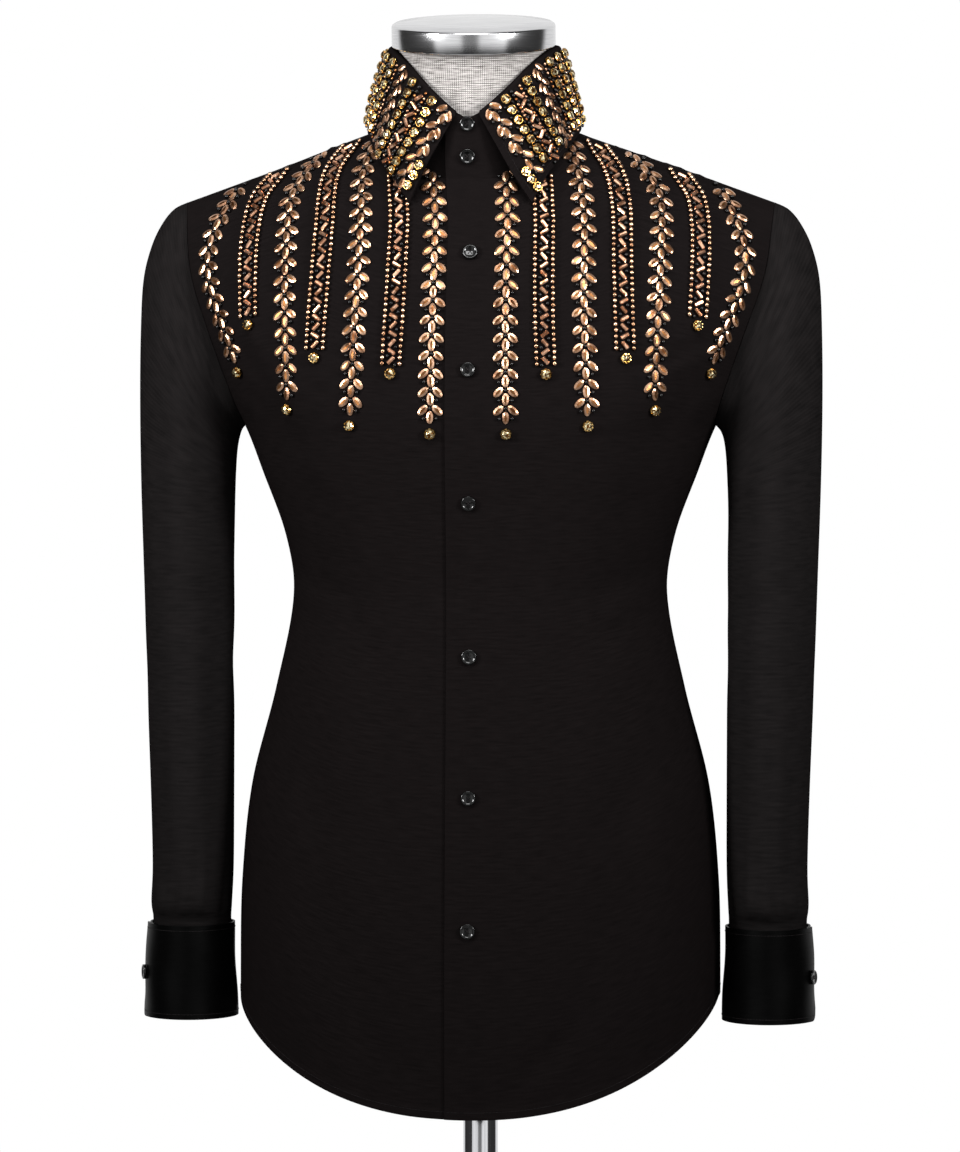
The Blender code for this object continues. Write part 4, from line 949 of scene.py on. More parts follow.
# %% The two cuffs
CUFF_WALL = 1.6 * MM
CUFF_CENTRE_X = 229.5 * MM
CUFF_CENTRE_Y = -13 * MM
CUFF_ROWS = table("z half_width half_depth", (69, 37.4, 44), (106, 35.9, 43), (143, 34.5, 42))
CUFF_LOW = CUFF_ROWS[0].z * MM
CUFF_HIGH = CUFF_ROWS[-1].z * MM
CUFF_UNDER_END = 40
CUFF_OVER_END = -355
CUFF_BLEND = 60
CUFF_CORNER = 10 * MM
CUFF_CORNER_ANGLE = 14
CUFF_WAVE = 0.5 * MM
CUFF_WAVE_AROUND = 3
CUFF_WAVE_UP = 7
CUFF_COLUMNS = 150
CUFF_STEPS = 22
CUFF_SWEEP = CUFF_UNDER_END - CUFF_OVER_END
cuff_half_width = smooth_column(CUFF_ROWS, "z", "half_width")
cuff_half_depth = smooth_column(CUFF_ROWS, "z", "half_depth")


def cuff_point(turned, rise):
    """A point of the cuff's outside, at degrees from the end that lies under and a share of its height."""
    angle = math.radians(CUFF_UNDER_END - turned)
    inset = (CUFF_WALL + SEAM_GAP) * (1 - ease((turned - (CUFF_SWEEP - 360)) / CUFF_BLEND))
    past = 1 - min((CUFF_SWEEP - turned) / CUFF_CORNER_ANGLE, 1.0)
    low = CUFF_LOW + CUFF_CORNER * (1 - math.sqrt(1 - past * past))
    z = low + (CUFF_HIGH - low) * rise
    soft = CUFF_WAVE * math.sin(CUFF_WAVE_AROUND * angle + CUFF_WAVE_UP * rise)
    x = CUFF_CENTRE_X + (cuff_half_width(z) - inset - soft) * math.cos(angle)
    y = CUFF_CENTRE_Y - (cuff_half_depth(z) - inset - soft) * math.sin(angle)
    return Vector((x, y, z))


cuff_grid = [
    [cuff_point(CUFF_SWEEP * i / CUFF_COLUMNS, k / CUFF_STEPS) for i in range(CUFF_COLUMNS + 1)]
    for k in range(CUFF_STEPS + 1)
]
for side, grid in (("left", cuff_grid), ("right", mirrored(cuff_grid))):
    cloth_piece(
        f"{side}_cuff_band", grid, cuff_satin, CUFF_WALL, "cuff_satin", f"cuff_{side}",
    )

# %% [markdown]
# The collar has two parts. The stand is a band that closes round the neck with two buttons, and the
# fall is sewn to its top, rolls over it and comes down to two points. The fall must roll with a real
# radius over the stand, or its edge would look like cut card, so its grid ends inside the neck.

# %% The collar's stand
STAND_WALL = 1.8 * MM
STAND_TOP_HALF_WIDTH = 66 * MM
STAND_TOP_FRONT = 70.5 * MM
STAND_TOP_BACK = 58.5 * MM
STAND_SEAM_LIFT = 1.0 * MM
STAND_LAP_DROP = STAND_WALL + 0.4 * MM
STAND_LAP_START = 300
STAND_LAP_END = 340
STAND_UNDER_ROLL = 2.6 * MM
STAND_ROLL_START = 6
STAND_ROLL_BLEND = 8
STAND_TUCK = 0.03
STAND_COLUMNS = 150
STAND_STEPS = 14
STAND_TOPS = table(
    "angle z",
    (0, 778), (8, 783), (25, 799), (45, 818), (65, 830), (90, 834.5), (135, 836), (180, 836),
)
top_of_stand = smooth_column(STAND_TOPS, "angle", "z", unit=1)


def from_front(angle):
    """Degrees from the centre front, the shorter way round."""
    return abs(angle if angle <= 180 else 360 - angle)


def stand_top(angle):
    """The stand's outer top edge, by degrees from the centre front to the wearer's left."""
    sine, cosine = sin_cos(angle)
    y = -cosine * (STAND_TOP_FRONT if cosine > 0 else STAND_TOP_BACK)
    return Vector((STAND_TOP_HALF_WIDTH * sine, y, top_of_stand(from_front(angle))))


def stand_point(angle, rise):
    """The stand's outside at a share of its height. Its last end is drawn in under its first."""
    sine, cosine = sin_cos(angle)
    foot = neck_point(angle) + Vector((0, 0, STAND_SEAM_LIFT))
    point = foot.lerp(stand_top(angle), rise)
    under = ease((angle - STAND_LAP_START) / (STAND_LAP_END - STAND_LAP_START))
    return point + Vector((-sine, cosine, 0)) * STAND_LAP_DROP * under


def stand_rise_limit(angle):
    """Keeps the top edge under the roll, except in front of the fall's ends."""
    height = (stand_top(angle) - neck_point(angle)).length
    covered = ease((from_front(angle) - STAND_ROLL_START) / STAND_ROLL_BLEND)
    return 1 - STAND_UNDER_ROLL / height * covered


stand_sweep = 360 - 2 * neck_start
stand_grid = []
for k in range(STAND_STEPS + 1):
    share = -STAND_TUCK + (1 + STAND_TUCK) * k / STAND_STEPS
    angles = [neck_start + stand_sweep * i / STAND_COLUMNS for i in range(STAND_COLUMNS + 1)]
    stand_grid.append([stand_point(angle, stand_rise_limit(angle) * share) for angle in angles])
cloth_piece(
    "stand_band", stand_grid, black_cotton, STAND_WALL, "shirt_cloth", "collar_stand",
)

# %% The collar's fall
FALL_WALL = 2.0 * MM
FALL_CLEARANCE = 0.4 * MM
FALL_LIFT = 0.8 * MM
FALL_BULGE = 2 * MM
FALL_TILT = 0.15
FALL_FIRST = 8
FALL_COLUMNS = 170
FALL_STEPS = 30
ROLL_RADIUS = FALL_WALL + FALL_CLEARANCE + STAND_WALL / 2
ROLL_DROP = 3.0 * MM
ROLL_STEPS = 8
INSIDE_STEPS = 3
INSIDE_DROP = 9 * MM
COLLAR_EDGES = table(
    "fold_angle x y z",
    (8, 48, -79, 713),
    (30, 61, -65, 734),
    (55, 76, -40, 754),
    (90, 84, 3, 771.5),
    (135, 62.5, 62, 772),
    (180, 0, 84, 772),
)
collar_edge_columns = [smooth_column(COLLAR_EDGES, "fold_angle", axis, unit=1) for axis in "xyz"]


def fall_point(angle, drop):
    """A point of the fall's outside at a share of the way from its fold to its edge."""
    turn = abs(angle)
    sine, cosine = sin_cos(turn)
    out = FALL_WALL + FALL_CLEARANCE
    fold = stand_top(turn) + Vector((sine * out, -cosine * out, FALL_LIFT - ROLL_DROP))
    edge = Vector([column(turn) for column in collar_edge_columns])
    outward = Vector((sine, -cosine, FALL_TILT)).normalized()
    point = fold.lerp(edge, drop) + outward * (FALL_BULGE * 4 * drop * (1 - drop))
    return Vector((math.copysign(point.x, angle) if turn else 0.0, point.y, point.z))


def rolled_point(angle, around, down=0.0):
    """A point of the roll over the stand: around is 0 outside and pi inside."""
    sine, cosine = sin_cos(abs(angle))
    outward = Vector((math.copysign(sine, angle), -cosine, 0))
    centre = fall_point(angle, 0) - outward * ROLL_RADIUS
    rolled = centre + outward * ROLL_RADIUS * math.cos(around)
    return rolled + Vector((0, 0, ROLL_RADIUS * math.sin(around))) - Vector((0, 0, down))


fall_angles = []
for i in range(FALL_COLUMNS + 1):
    u = 1 - 2 * i / FALL_COLUMNS
    fall_angles.append(math.copysign(FALL_FIRST + (180 - FALL_FIRST) * (1 - abs(u)), u))
fall_grid = [[fall_point(a, 1 - k / FALL_STEPS) for a in fall_angles] for k in range(FALL_STEPS + 1)]
for k in range(1, ROLL_STEPS + 1):
    fall_grid.append([rolled_point(a, math.pi * k / ROLL_STEPS) for a in fall_angles])
for k in range(1, INSIDE_STEPS + 1):
    fall_grid.append([rolled_point(a, math.pi, INSIDE_DROP * k / INSIDE_STEPS) for a in fall_angles])
cloth_piece(
    "fall_cloth", fall_grid, black_cotton, FALL_WALL, "shirt_cloth", "collar_fall"
)

# %% [markdown]
# Each kind of bead is modelled once, in millimetres, because a bead is easier to read at that size, and
# its copies are shrunk to metres. The leaf stone is a navette: a pointed oval with polished slopes that
# climb to a table painted darker, a painted dark reflection. A twelve-sided cylinder is stretched to the
# oval, and insets that are lifted make the slopes. They rise by only twenty degrees, because a mirror
# turned by that much sends the lamps beside the camera back to it.

# %% The leaf stone
def paint_picked(obj, number):
    """Gives the picked faces a finish by its number in the list of bead finishes."""
    bm = bmesh.from_edit_mesh(obj.data)
    for face in bm.faces:
        if face.select:
            face.material_index = number
    bmesh.update_edit_mesh(obj.data)


def new_bead(bead, finish):
    """Gives an object all the bead finishes, opens it in edit mode and paints it with one of them."""
    for material in BEAD_FINISHES:
        bead.data.materials.append(material)
    mode("EDIT")
    paint_picked(bead, finish)
    return bead


def end_bead(bead):
    mode("OBJECT")
    fix_size()
    bead.hide_render = True
    print(f"{bead.name}: {len(bead.data.polygons)} faces")


LEAF_LENGTH = 10.23
LEAF_BREADTH = 5.7
GIRDLE = 0.8
# The rim and the slope: a step inwards and a step up each.
LEAF_STEPS = ((0.15, 0.25), (1.6, 0.55))
leaf = new_bead(cylinder("leaf_stone", 12, 0.5, GIRDLE, (0, 0, GIRDLE / 2)), COPPER)
bpy.ops.transform.resize(value=(LEAF_BREADTH, LEAF_LENGTH, 1))
pick(leaf, is_top)
insets(*LEAF_STEPS)
# The table is painted dark: a painted dark reflection.
paint_picked(leaf, PAINTED_SHADE_AND_AMBER)
end_bead(leaf)

# %% [markdown]
# The round stones are chatons: a golden brilliant held by claws in a gilt cup. They stand up from the
# cloth like small balls, which is why the collar's outline looks beaded. The cup is a short cylinder
# with a narrower foot, the stone is eight-sided with a lifted table, and the claws are small blocks
# that lean in over it. All their sizes are shares of the stone's radius.

# %% The round stones
CUP_HEIGHT = 0.6
CUP_FOOT = 0.75
CUP_RIM = 0.1
GEM_RADIUS = 0.86
GEM_MIDDLE = 0.72
GEM_GIRDLE = 0.2
GEM_SLOPES = ((0.2, 0.2), (0.34, 0.15))
CLAW_CIRCLE = 0.88
CLAW_SIZE = (0.34, 0.34, 0.6)
CLAW_MIDDLE = 0.7
CLAW_TIP = 0.6
CLAW_LEAN = 0.14


def claw_stone(name, diameter, claws):
    """A chaton in millimetres with its underside at z 0."""
    radius = diameter / 2
    middle = (0, 0, CUP_HEIGHT / 2 * radius)
    cup = new_bead(cylinder(name, 12, radius, CUP_HEIGHT * radius, middle), GILT)
    pick(cup, lambda p: p.z < 0, "VERT")
    bpy.ops.transform.resize(value=(CUP_FOOT, CUP_FOOT, 1))
    pick(cup, is_top)
    insets((CUP_RIM * radius, CUP_RIM * radius))
    mode("OBJECT")
    middle = (0, 0, GEM_MIDDLE * radius)
    gem = cylinder(f"{name}_gem", 8, radius * GEM_RADIUS, GEM_GIRDLE * radius, middle)
    new_bead(gem, TOPAZ_AND_PAINTED_GLINTS)
    pick(gem, is_top)
    insets(*[(in_by * radius, up_by * radius) for in_by, up_by in GEM_SLOPES])
    mode("OBJECT")
    parts = [cup, gem]
    for number in range(claws):
        turn = 2 * math.pi * (number + 0.5) / claws
        spot = Vector((math.cos(turn), math.sin(turn), 0)) * radius * CLAW_CIRCLE
        claw = start(
            bpy.ops.mesh.primitive_cube_add,
            f"{name}_claw",
            size=1,
            location=spot + Vector((0, 0, CLAW_MIDDLE * radius)),
            rotation=(0, 0, turn),
            scale=[side * radius for side in CLAW_SIZE],
        )
        new_bead(claw, GILT)
        pick(claw, is_top)
        bpy.ops.transform.resize(value=(CLAW_TIP, CLAW_TIP, 1))
        bpy.ops.transform.translate(value=-spot * CLAW_LEAN)
        mode("OBJECT")
        parts.append(claw)
    join(parts)
    end_bead(cup)
    return cup


collar_stone = claw_stone("collar_stone", 7.8, 4)
end_stone = claw_stone("end_stone", 8.6, 8)

# %% [markdown]
# The rails are of round plated beads, and the tubes between them are cut bugles. The small round beads
# are jet, copper and amber. A low sphere with smooth shading is enough for these, as they are hardly
# four millimetres wide.

# %% Rail beads, tubes and round beads
BUGLE_LENGTH = 6.6
BUGLE_RADIUS = 1.6
BUGLE_WALL = (0.45, 0.0)
BUGLE_HOLLOW = (0.25, -0.6)
LYING = (math.pi / 2, math.pi / 8, 0)
bugle = new_bead(
    cylinder("bugle", 8, BUGLE_RADIUS, BUGLE_LENGTH, (0, 0, BUGLE_RADIUS), rotation=LYING), TUBE
)
pick(bugle, is_end)
insets(BUGLE_WALL, BUGLE_HOLLOW, use_individual=True)
# The hollow ends are painted dark: painted shade inside the tube.
paint_picked(bugle, PAINTED_SHADE_AND_AMBER)
end_bead(bugle)

BEAD_FLATNESS = 0.88
BEAD_SINK = 0.85


def round_bead(name, finish, radius):
    add = bpy.ops.mesh.primitive_uv_sphere_add
    middle = (0, 0, radius * BEAD_SINK)
    bead = new_bead(start(add, name, segments=8, ring_count=6, radius=radius, location=middle), finish)
    bpy.ops.transform.resize(value=(1, 1, BEAD_FLATNESS))
    end_bead(bead)
    bpy.ops.object.shade_smooth()
    return bead


rail_bead = round_bead("rail_bead", BRONZE, 2.0)
jet_bead = round_bead("jet_bead", JET, 1.65)
amber_bead = round_bead("amber_bead", PAINTED_SHADE_AND_AMBER, 1.35)
copper_bead = round_bead("copper_bead", COPPER, 1.35)

# %% [markdown]
# Beads are laid by one helper. It takes pairs of a bead and the place where a copy sits, and joins the
# copies into one piece with a mesh of its own. A place is a matrix: its Y axis is the bead's length and
# its Z axis points away from the cloth. Small seeded tilts keep the rows from looking stamped.

# %% Laying copies
LIFT = 0.15 * MM
LOOSE = 5.0
SIZE_RANGE = (0.97, 1.03)
Spot = namedtuple("Spot", "point across down normal")
tilts = random.Random(41)


def bead_place(point, long_axis, normal, size=1.0, loose=LOOSE):
    """Where a copy sits: on the point, with its Y along the long axis, tilted by a few degrees."""
    z_axis = normal.normalized()
    x_axis = long_axis.cross(z_axis).normalized()
    turn = Matrix((x_axis, z_axis.cross(x_axis), z_axis)).transposed()
    for axis in "XYZ":
        turn = turn @ Matrix.Rotation(math.radians(tilts.uniform(-loose, loose)), 3, axis)
    scale = size * MM * tilts.uniform(*SIZE_RANGE)
    return Matrix.Translation(point + z_axis * LIFT) @ turn.to_4x4() @ Matrix.Scale(scale, 4)


def placed(bead, at, turn=0.0, size=1.0, loose=LOOSE):
    """A bead and its place on a spot, turned from the way down towards the way across."""
    long_axis = at.down * math.cos(turn) + at.across * math.sin(turn)
    return bead, bead_place(at.point, long_axis, at.normal, size, loose)


def lay(name, placings, slot, *nodes):
    """Joins copies of beads into one piece. Each placing is a bead and its place."""
    points, faces, finishes, smooth = [], [], [], []
    for bead, place in placings:
        first = len(points)
        points += [place @ vertex.co for vertex in bead.data.vertices]
        for face in bead.data.polygons:
            faces.append([first + i for i in face.vertices])
            finishes.append(bead.data.materials[face.material_index])
            smooth.append(face.use_smooth)
    obj = new_object(name, points, faces)
    used = list(dict.fromkeys(finishes))
    for material in used:
        obj.data.materials.append(material)
    obj.data.polygons.foreach_set("material_index", [used.index(material) for material in finishes])
    obj.data.polygons.foreach_set("use_smooth", smooth)
    print(len(placings), "copies")
    hand_over(obj, slot, *nodes)


print("ready to lay beads")

# %% [markdown]
# Seven rows run down each front from the shoulder seam. A row's centre line is a smooth curve through a
# few points measured on the front. Walking along it on the cloth gives lengths, so the beads keep their
# pitch where the shoulder curves away. Each spot also knows the cloth's own directions there: across
# the row, down the row and away from the cloth.

# %% Spots along a row
ROW_TOP_DROP = 2 * MM
ROW_SEGMENTS = 12
NORMAL_STEP = 1.5 * MM
DOWN_STEP = 3
BEAD_ROWS = table(
    "kind number points",
    ("leaf", 1, ((193, 719), (207, 690), (211, 664), (204.5, 636), (195, 611), (184.5, 580))),
    ("bugle", 1, ((160, 732), (172, 714), (176.5, 685), (176.4, 652), (174.8, 617))),
    ("leaf", 2, ((128, 744), (143, 722), (146.6, 696), (146, 638), (144.7, 606), (142.8, 552))),
    ("bugle", 2, ((98, 755), (110, 737), (115, 714), (117.5, 665), (121, 592))),
    ("leaf", 3, ((80, 751), (85.4, 731), (87.4, 692), (88.6, 636), (92.5, 540))),
    ("bugle", 3, ((56.4, 727), (56.6, 692), (57.8, 638), (60.4, 580))),
    ("leaf", 4, ((28.5, 727), (28.2, 692), (28.4, 638), (29.7, 534))),
)


def row_spots(points, mirror):
    """The spot at millimetres across and along the row, whether it lies on the front, and its length."""

    def on_front(x, z):
        return panel_point(x, min(z, ridge_z(x) - ROW_TOP_DROP), FRONT, mirror, mirror)

    ends = [Vector(p) * MM for p in points]
    ends = [2 * ends[0] - ends[1]] + ends + [2 * ends[-1] - ends[-2]]
    line = []
    for i in range(1, len(ends) - 2):
        line += [curve_between(*ends[i - 1 : i + 3], k / ROW_SEGMENTS) for k in range(ROW_SEGMENTS)]
    line.append(ends[-2])
    lengths = running_lengths([on_front(p.x, p.y) for p in line])

    def centre(length):
        i = 0
        while i < len(line) - 2 and length > lengths[i + 1]:
            i += 1
        t = (length - lengths[i]) / (lengths[i + 1] - lengths[i])
        return line[i].lerp(line[i + 1], t)

    def normal_at(x, z):
        right = on_front(x + NORMAL_STEP, z) - on_front(x - NORMAL_STEP, z)
        up = on_front(x, z + NORMAL_STEP) - on_front(x, z - NORMAL_STEP)
        return right.cross(up).normalized()

    def spot(across, length):
        middle = centre(length * MM)
        ahead, behind = centre((length + DOWN_STEP) * MM), centre((length - DOWN_STEP) * MM)
        down = (on_front(ahead.x, ahead.y) - on_front(behind.x, behind.y)).normalized()
        side = down.cross(normal_at(middle.x, middle.y)).normalized() * -across * MM
        x, z = middle.x + side.x, middle.y + side.z
        normal = normal_at(x, z)
        vectors = [on_front(x, z), -down.cross(normal).normalized(), down, normal]
        if mirror:
            vectors = [flipped(v) for v in vectors]
        return Spot(in_frame(vectors[0]), *vectors[1:])

    def on_cloth(across, length):
        middle = centre(length * MM)
        return middle.y < ridge_z(middle.x + across * MM) - ROW_TOP_DROP

    return spot, on_cloth, lengths[-1] / MM


def lay_rows(kind, placings_of, piece, slot):
    """Lays all the rows of one kind, on both fronts."""
    for row in BEAD_ROWS:
        for side in ("left", "right"):
            if row.kind == kind:
                node = f"{kind}_row_{side}_{row.number}"
                placings = placings_of(*row_spots(row.points, side == "right"))
                lay(f"{node}_{piece}", placings, slot, node)


for row in BEAD_ROWS[:2]:
    print(row.kind, row.number, "runs", round(row_spots(row.points, False)[-1], 1), "mm")

# %% [markdown]
# In a leaf row three stones stand round each node, like the leaves of an ear of wheat: one straight
# below it and one on each side. A jet bead covers the node, and one lies below each side leaf. The same
# group of six, laid again and again, makes the row, and a round stone ends it. A row starts at the
# shoulder seam, so beads of the first group that would fall behind the seam are left out.

# %% The leaf rows
LEAF_PITCH = 14.1
LEAF_GROUP = [(jet_bead, 0, 0, 0), (leaf, 0, 7.1, 0)]
for hand in (-1, 1):
    LEAF_GROUP.append((leaf, hand * 5.6, 1.5, hand * math.radians(46)))
    LEAF_GROUP.append((jet_bead, hand * 5.1, 7.9, 0))
END_STONE = 9
END_GAP = 1


def group_at(group, node, spot, fits, size=1.0):
    """Placings of a group of beads round a node, where they fit."""
    placings = []
    for bead, across, below, turn in group:
        across, along = across * size, node + below * size
        if fits(across, along):
            placings.append(placed(bead, spot(across, along), turn, size))
    return placings


def leaf_row(spot, on_cloth, length):
    count = int((length - END_STONE) / LEAF_PITCH)
    top = length - END_STONE / 2 - END_GAP - count * LEAF_PITCH
    placings = []
    for i in range(-2, count):
        placings += group_at(LEAF_GROUP, top + i * LEAF_PITCH, spot, on_cloth)
    return placings + [placed(end_stone, spot(0, length))]


lay_rows("leaf", leaf_row, "stones", "copper_stones")

# %% [markdown]
# A bugle row is a ladder: two rails of plated beads with cut tubes that zigzag between them, each tube
# starting where the last one ends. A jet bead fills the corner under every tube.

# %% The bugle rows
RAIL_PLACE = 7.0
RAIL_PITCH = 4.65
BUGLE_PITCH = 6.95
BUGLE_HALF = 3.5
LEVEL_TUBE = math.radians(57)
STEEP_TUBE = math.radians(-40)
CORNER_BEAD = 3.0
ABOVE_TOP = 15


def zigzag(spot, fits, start_at, end_at):
    """Tubes that turn to and fro, with a jet bead in each corner."""
    placings = []
    for i in range(round((end_at - start_at) / BUGLE_PITCH)):
        middle = end_at - (i + 0.5) * BUGLE_PITCH
        if not fits(0, middle - BUGLE_HALF):
            break
        turn = STEEP_TUBE if i % 2 == 0 else LEVEL_TUBE
        placings.append(placed(bugle, spot(0, middle), -turn))
        corner = spot(CORNER_BEAD if turn > 0 else -CORNER_BEAD, middle + BUGLE_PITCH / 2)
        placings.append(placed(jet_bead, corner))
    return placings


def bugle_row(spot, on_cloth, length):
    run = length - END_STONE + END_GAP
    placings = zigzag(spot, on_cloth, -ABOVE_TOP, run + 1)
    for i in range(int((run + ABOVE_TOP) / RAIL_PITCH)):
        for across in (-RAIL_PLACE, RAIL_PLACE):
            if on_cloth(across, run - i * RAIL_PITCH):
                placings.append(placed(rail_bead, spot(across, run - i * RAIL_PITCH)))
    return placings + [placed(end_stone, spot(0, length))]


lay_rows("bugle", bugle_row, "beads", "bronze_beads")

# %% [markdown]
# On the collar the lines run from the fold down to the edge, side by side, and lean back a little as
# they go. First comes a vine of leaf stones beside the front edge, then round stones, then a band of
# tubes and small mixed beads, round stones again, a smaller vine, and small beads and round stones by
# turns. The lines on the wearer's right stand a little further forward. The hidden back goes on with
# fewer lines.

# %% Spots on the collar
COLLAR_LINES = table(
    "kind fold middle edge",
    ("vine", 14.5, 18, 23.5), ("chain", 24, 27, 34), ("mixed", 31.5, 34.5, 41.5),
    ("chain", 39, 42, 49), ("small vine", 48.5, 51, 57.5), ("beads", 55, 57.5, 63.5),
    ("chain", 59.5, 62, 68), ("beads", 64.5, 66.5, 72.5), ("chain", 69.5, 71, 76.5),
    ("beads", 75, 77, 82), ("chain", 81, 83, 88), ("chain", 100, 104, 108),
    ("small vine", 118, 120, 123), ("chain", 138, 140, 141), ("chain", 160, 160.5, 161),
)
RIGHT_FORWARD = (2, 3.5)
RIGHT_FORWARD_ENDS = 120
LINE_STEPS = 20
AHEAD = 0.04
ANGLE_STEP = 0.5
DROP_STEP = 0.01


def one_degree(angle, drop):
    """The way across the fall for one degree."""
    return fall_point(angle + ANGLE_STEP, drop) - fall_point(angle - ANGLE_STEP, drop)


def collar_spot(angle, drop):
    """The spot on the fall's outside at a signed angle and a share of the way down."""
    across = one_degree(angle, drop).normalized()
    down = (fall_point(angle, drop + DROP_STEP) - fall_point(angle, drop - DROP_STEP)).normalized()
    return Spot(in_frame(fall_point(angle, drop)), across, down, across.cross(-down).normalized())


def line_angle(line, drop, side):
    """The signed angle at a share of the way down, on a curve through the line's three angles."""
    bend = 2 * (line.fold + line.edge - 2 * line.middle)
    angle = line.fold + (line.edge - line.fold - bend) * drop + bend * drop * drop
    if side < 0:
        forward = RIGHT_FORWARD[0] + RIGHT_FORWARD[1] * drop
        angle -= forward * max(0, 1 - angle / RIGHT_FORWARD_ENDS)
    return side * angle


def collar_spots(line, side):
    """Like the rows on the fronts: the spot at millimetres across and along, and the line's length."""

    def on_line(drop):
        return fall_point(line_angle(line, drop, side), drop)

    length = running_lengths([on_line(k / LINE_STEPS) for k in range(LINE_STEPS + 1)])[-1] / MM

    def spot(across, along):
        drop = along / length
        angle = line_angle(line, drop, side)
        at = collar_spot(angle + side * across / (one_degree(angle, drop).length / MM), drop)
        down = (on_line(drop + AHEAD) - on_line(drop - AHEAD)).normalized()
        return Spot(at.point, down.cross(at.normal).normalized() * -side, down, at.normal)

    return spot, length


for line in COLLAR_LINES:
    print(line.kind, "line:", round(collar_spots(line, 1)[-1], 1), "mm")

# %% The collar's lines of stones
CHAIN_START = 3.5
CHAIN_PITCH = 8.9
CHAIN_BEAD = 3.7
CHAIN_BEAD_SIZE = 0.85
VINE_PITCH = 15.0
VINE_START = 1.5
VINE_SIZE = 0.95
SMALL_VINE_PITCH = 12.0
SMALL_VINE_SIZE = 0.8
VINE_GROUP = (
    (jet_bead, 0, 0, 0),
    (leaf, 0, 7.2, 0),
    (leaf, -3.8, 2.6, math.radians(-30)),
    (leaf, 4.8, 0.6, math.radians(42)),
    (jet_bead, -4.6, 9.4, 0),
    (jet_bead, 4.8, 6.6, 0),
)
FILLER_BEADS = (copper_bead, amber_bead, jet_bead)
FILLER_LOOSE = 10
MIXED_START = 2.5
MIXED_PLACE = 4.4
MIXED_PITCH = 3.3
MIXED_SIZE = 1.05
MIXED_ACROSS = (-0.4, 0.5)
MIXED_ALONG = (-0.5, 0.5)
BEAD_START = 3
BEAD_PITCH = 3.5
BEAD_ACROSS = (-0.8, 0.8)
LINE_ENDS = 4
# Angles and shares of the way down, for the wearer's left and right.
END_CHATONS = {
    1: ((15.5, 0.76), (16.5, 0.865), (17.5, 0.965)),
    -1: ((11.3, 0.63), (11.8, 0.75), (12.8, 0.88)),
}
END_CHATONS_FROM = 0.6
EDGE_ROOM = 3.5
mix = random.Random(7)


def chain_line(spot, length):
    """Round stones from the fold to the edge, with a jet bead on each side of every gap."""
    placings = []
    for i in range(1 + int((length - EDGE_ROOM - CHAIN_START) / CHAIN_PITCH)):
        along = CHAIN_START + i * CHAIN_PITCH
        placings.append(placed(collar_stone, spot(0, along)))
        for across in (-CHAIN_BEAD, CHAIN_BEAD):
            at = spot(across, min(along + CHAIN_PITCH / 2, length - LINE_ENDS / 2))
            placings.append(placed(jet_bead, at, size=CHAIN_BEAD_SIZE))
    return placings


def vine_line(spot, length, size=VINE_SIZE, pitch=VINE_PITCH, ends=True):
    """Leaf groups from the fold to the edge. Round end stones take the place of the last front leaves."""

    def fits(across, along):
        beside_ends = ends and across < -1 and along > END_CHATONS_FROM * length
        return 1 < along < length - EDGE_ROOM - 1 and not beside_ends

    placings = []
    for i in range(1 + int(length / pitch)):
        placings += group_at(VINE_GROUP, VINE_START + i * pitch, spot, fits, size)
    return placings


def mixed_line(spot, length):
    """A zigzag of tubes with small copper, amber and jet beads along both sides."""
    placings = zigzag(spot, lambda across, along: along > 1, LINE_ENDS / 2, length - LINE_ENDS / 2)
    for i in range(int((length - LINE_ENDS) / MIXED_PITCH)):
        for way in (-1, 1):
            across = way * (MIXED_PLACE + mix.uniform(*MIXED_ACROSS))
            at = spot(across, MIXED_START + i * MIXED_PITCH + mix.uniform(*MIXED_ALONG))
            placings.append(placed(mix.choice(FILLER_BEADS), at, size=MIXED_SIZE, loose=FILLER_LOOSE))
    return placings


def bead_line(spot, length):
    """Small mixed beads in a loose line."""
    placings = []
    for i in range(int((length - LINE_ENDS) / BEAD_PITCH)):
        at = spot(mix.uniform(*BEAD_ACROSS), BEAD_START + i * BEAD_PITCH)
        placings.append(placed(mix.choice(FILLER_BEADS), at, loose=FILLER_LOOSE))
    return placings


def small_vine_line(spot, length):
    return vine_line(spot, length, SMALL_VINE_SIZE, SMALL_VINE_PITCH, ends=False)


LINE_KINDS = {
    "chain": chain_line,
    "beads": bead_line,
    "mixed": mixed_line,
    "vine": vine_line,
    "small vine": small_vine_line,
}
for side, hand in (("left", 1), ("right", -1)):
    placings = []
    for line in COLLAR_LINES:
        placings += LINE_KINDS[line.kind](*collar_spots(line, hand))
    placings += [placed(collar_stone, collar_spot(hand * angle, drop)) for angle, drop in END_CHATONS[hand]]
    lay(f"{side}_collar_beads", placings, "copper_stones")

# %% [markdown]
# Machine stitches show as short raised threads that follow an edge. One stitch is modelled: a small
# rod with tapered ends. It is laid at an even pitch along the hem, the shoulder seams, the cuffs and the
# collar's edge. Real stitches are 2.5 mm apart, and these keep that size.

# %% One stitch and its helpers
STITCH_RADIUS = 0.2
STITCH_BODY = 1.5
STITCH_TAPER = (0.1, 0.3)
STITCH_PITCH = 2.5 * MM
STITCH_LOOSE = 2
SMALL_STEPS = (0.002, 0.002)
stitch = cylinder("stitch", 6, STITCH_RADIUS, STITCH_BODY, rotation=(math.pi / 2, 0, 0))
stitch.data.materials.append(black_thread)
mode("EDIT")
pick(stitch, is_end)
insets(STITCH_TAPER, use_individual=True)
end_bead(stitch)
bpy.ops.object.shade_smooth()


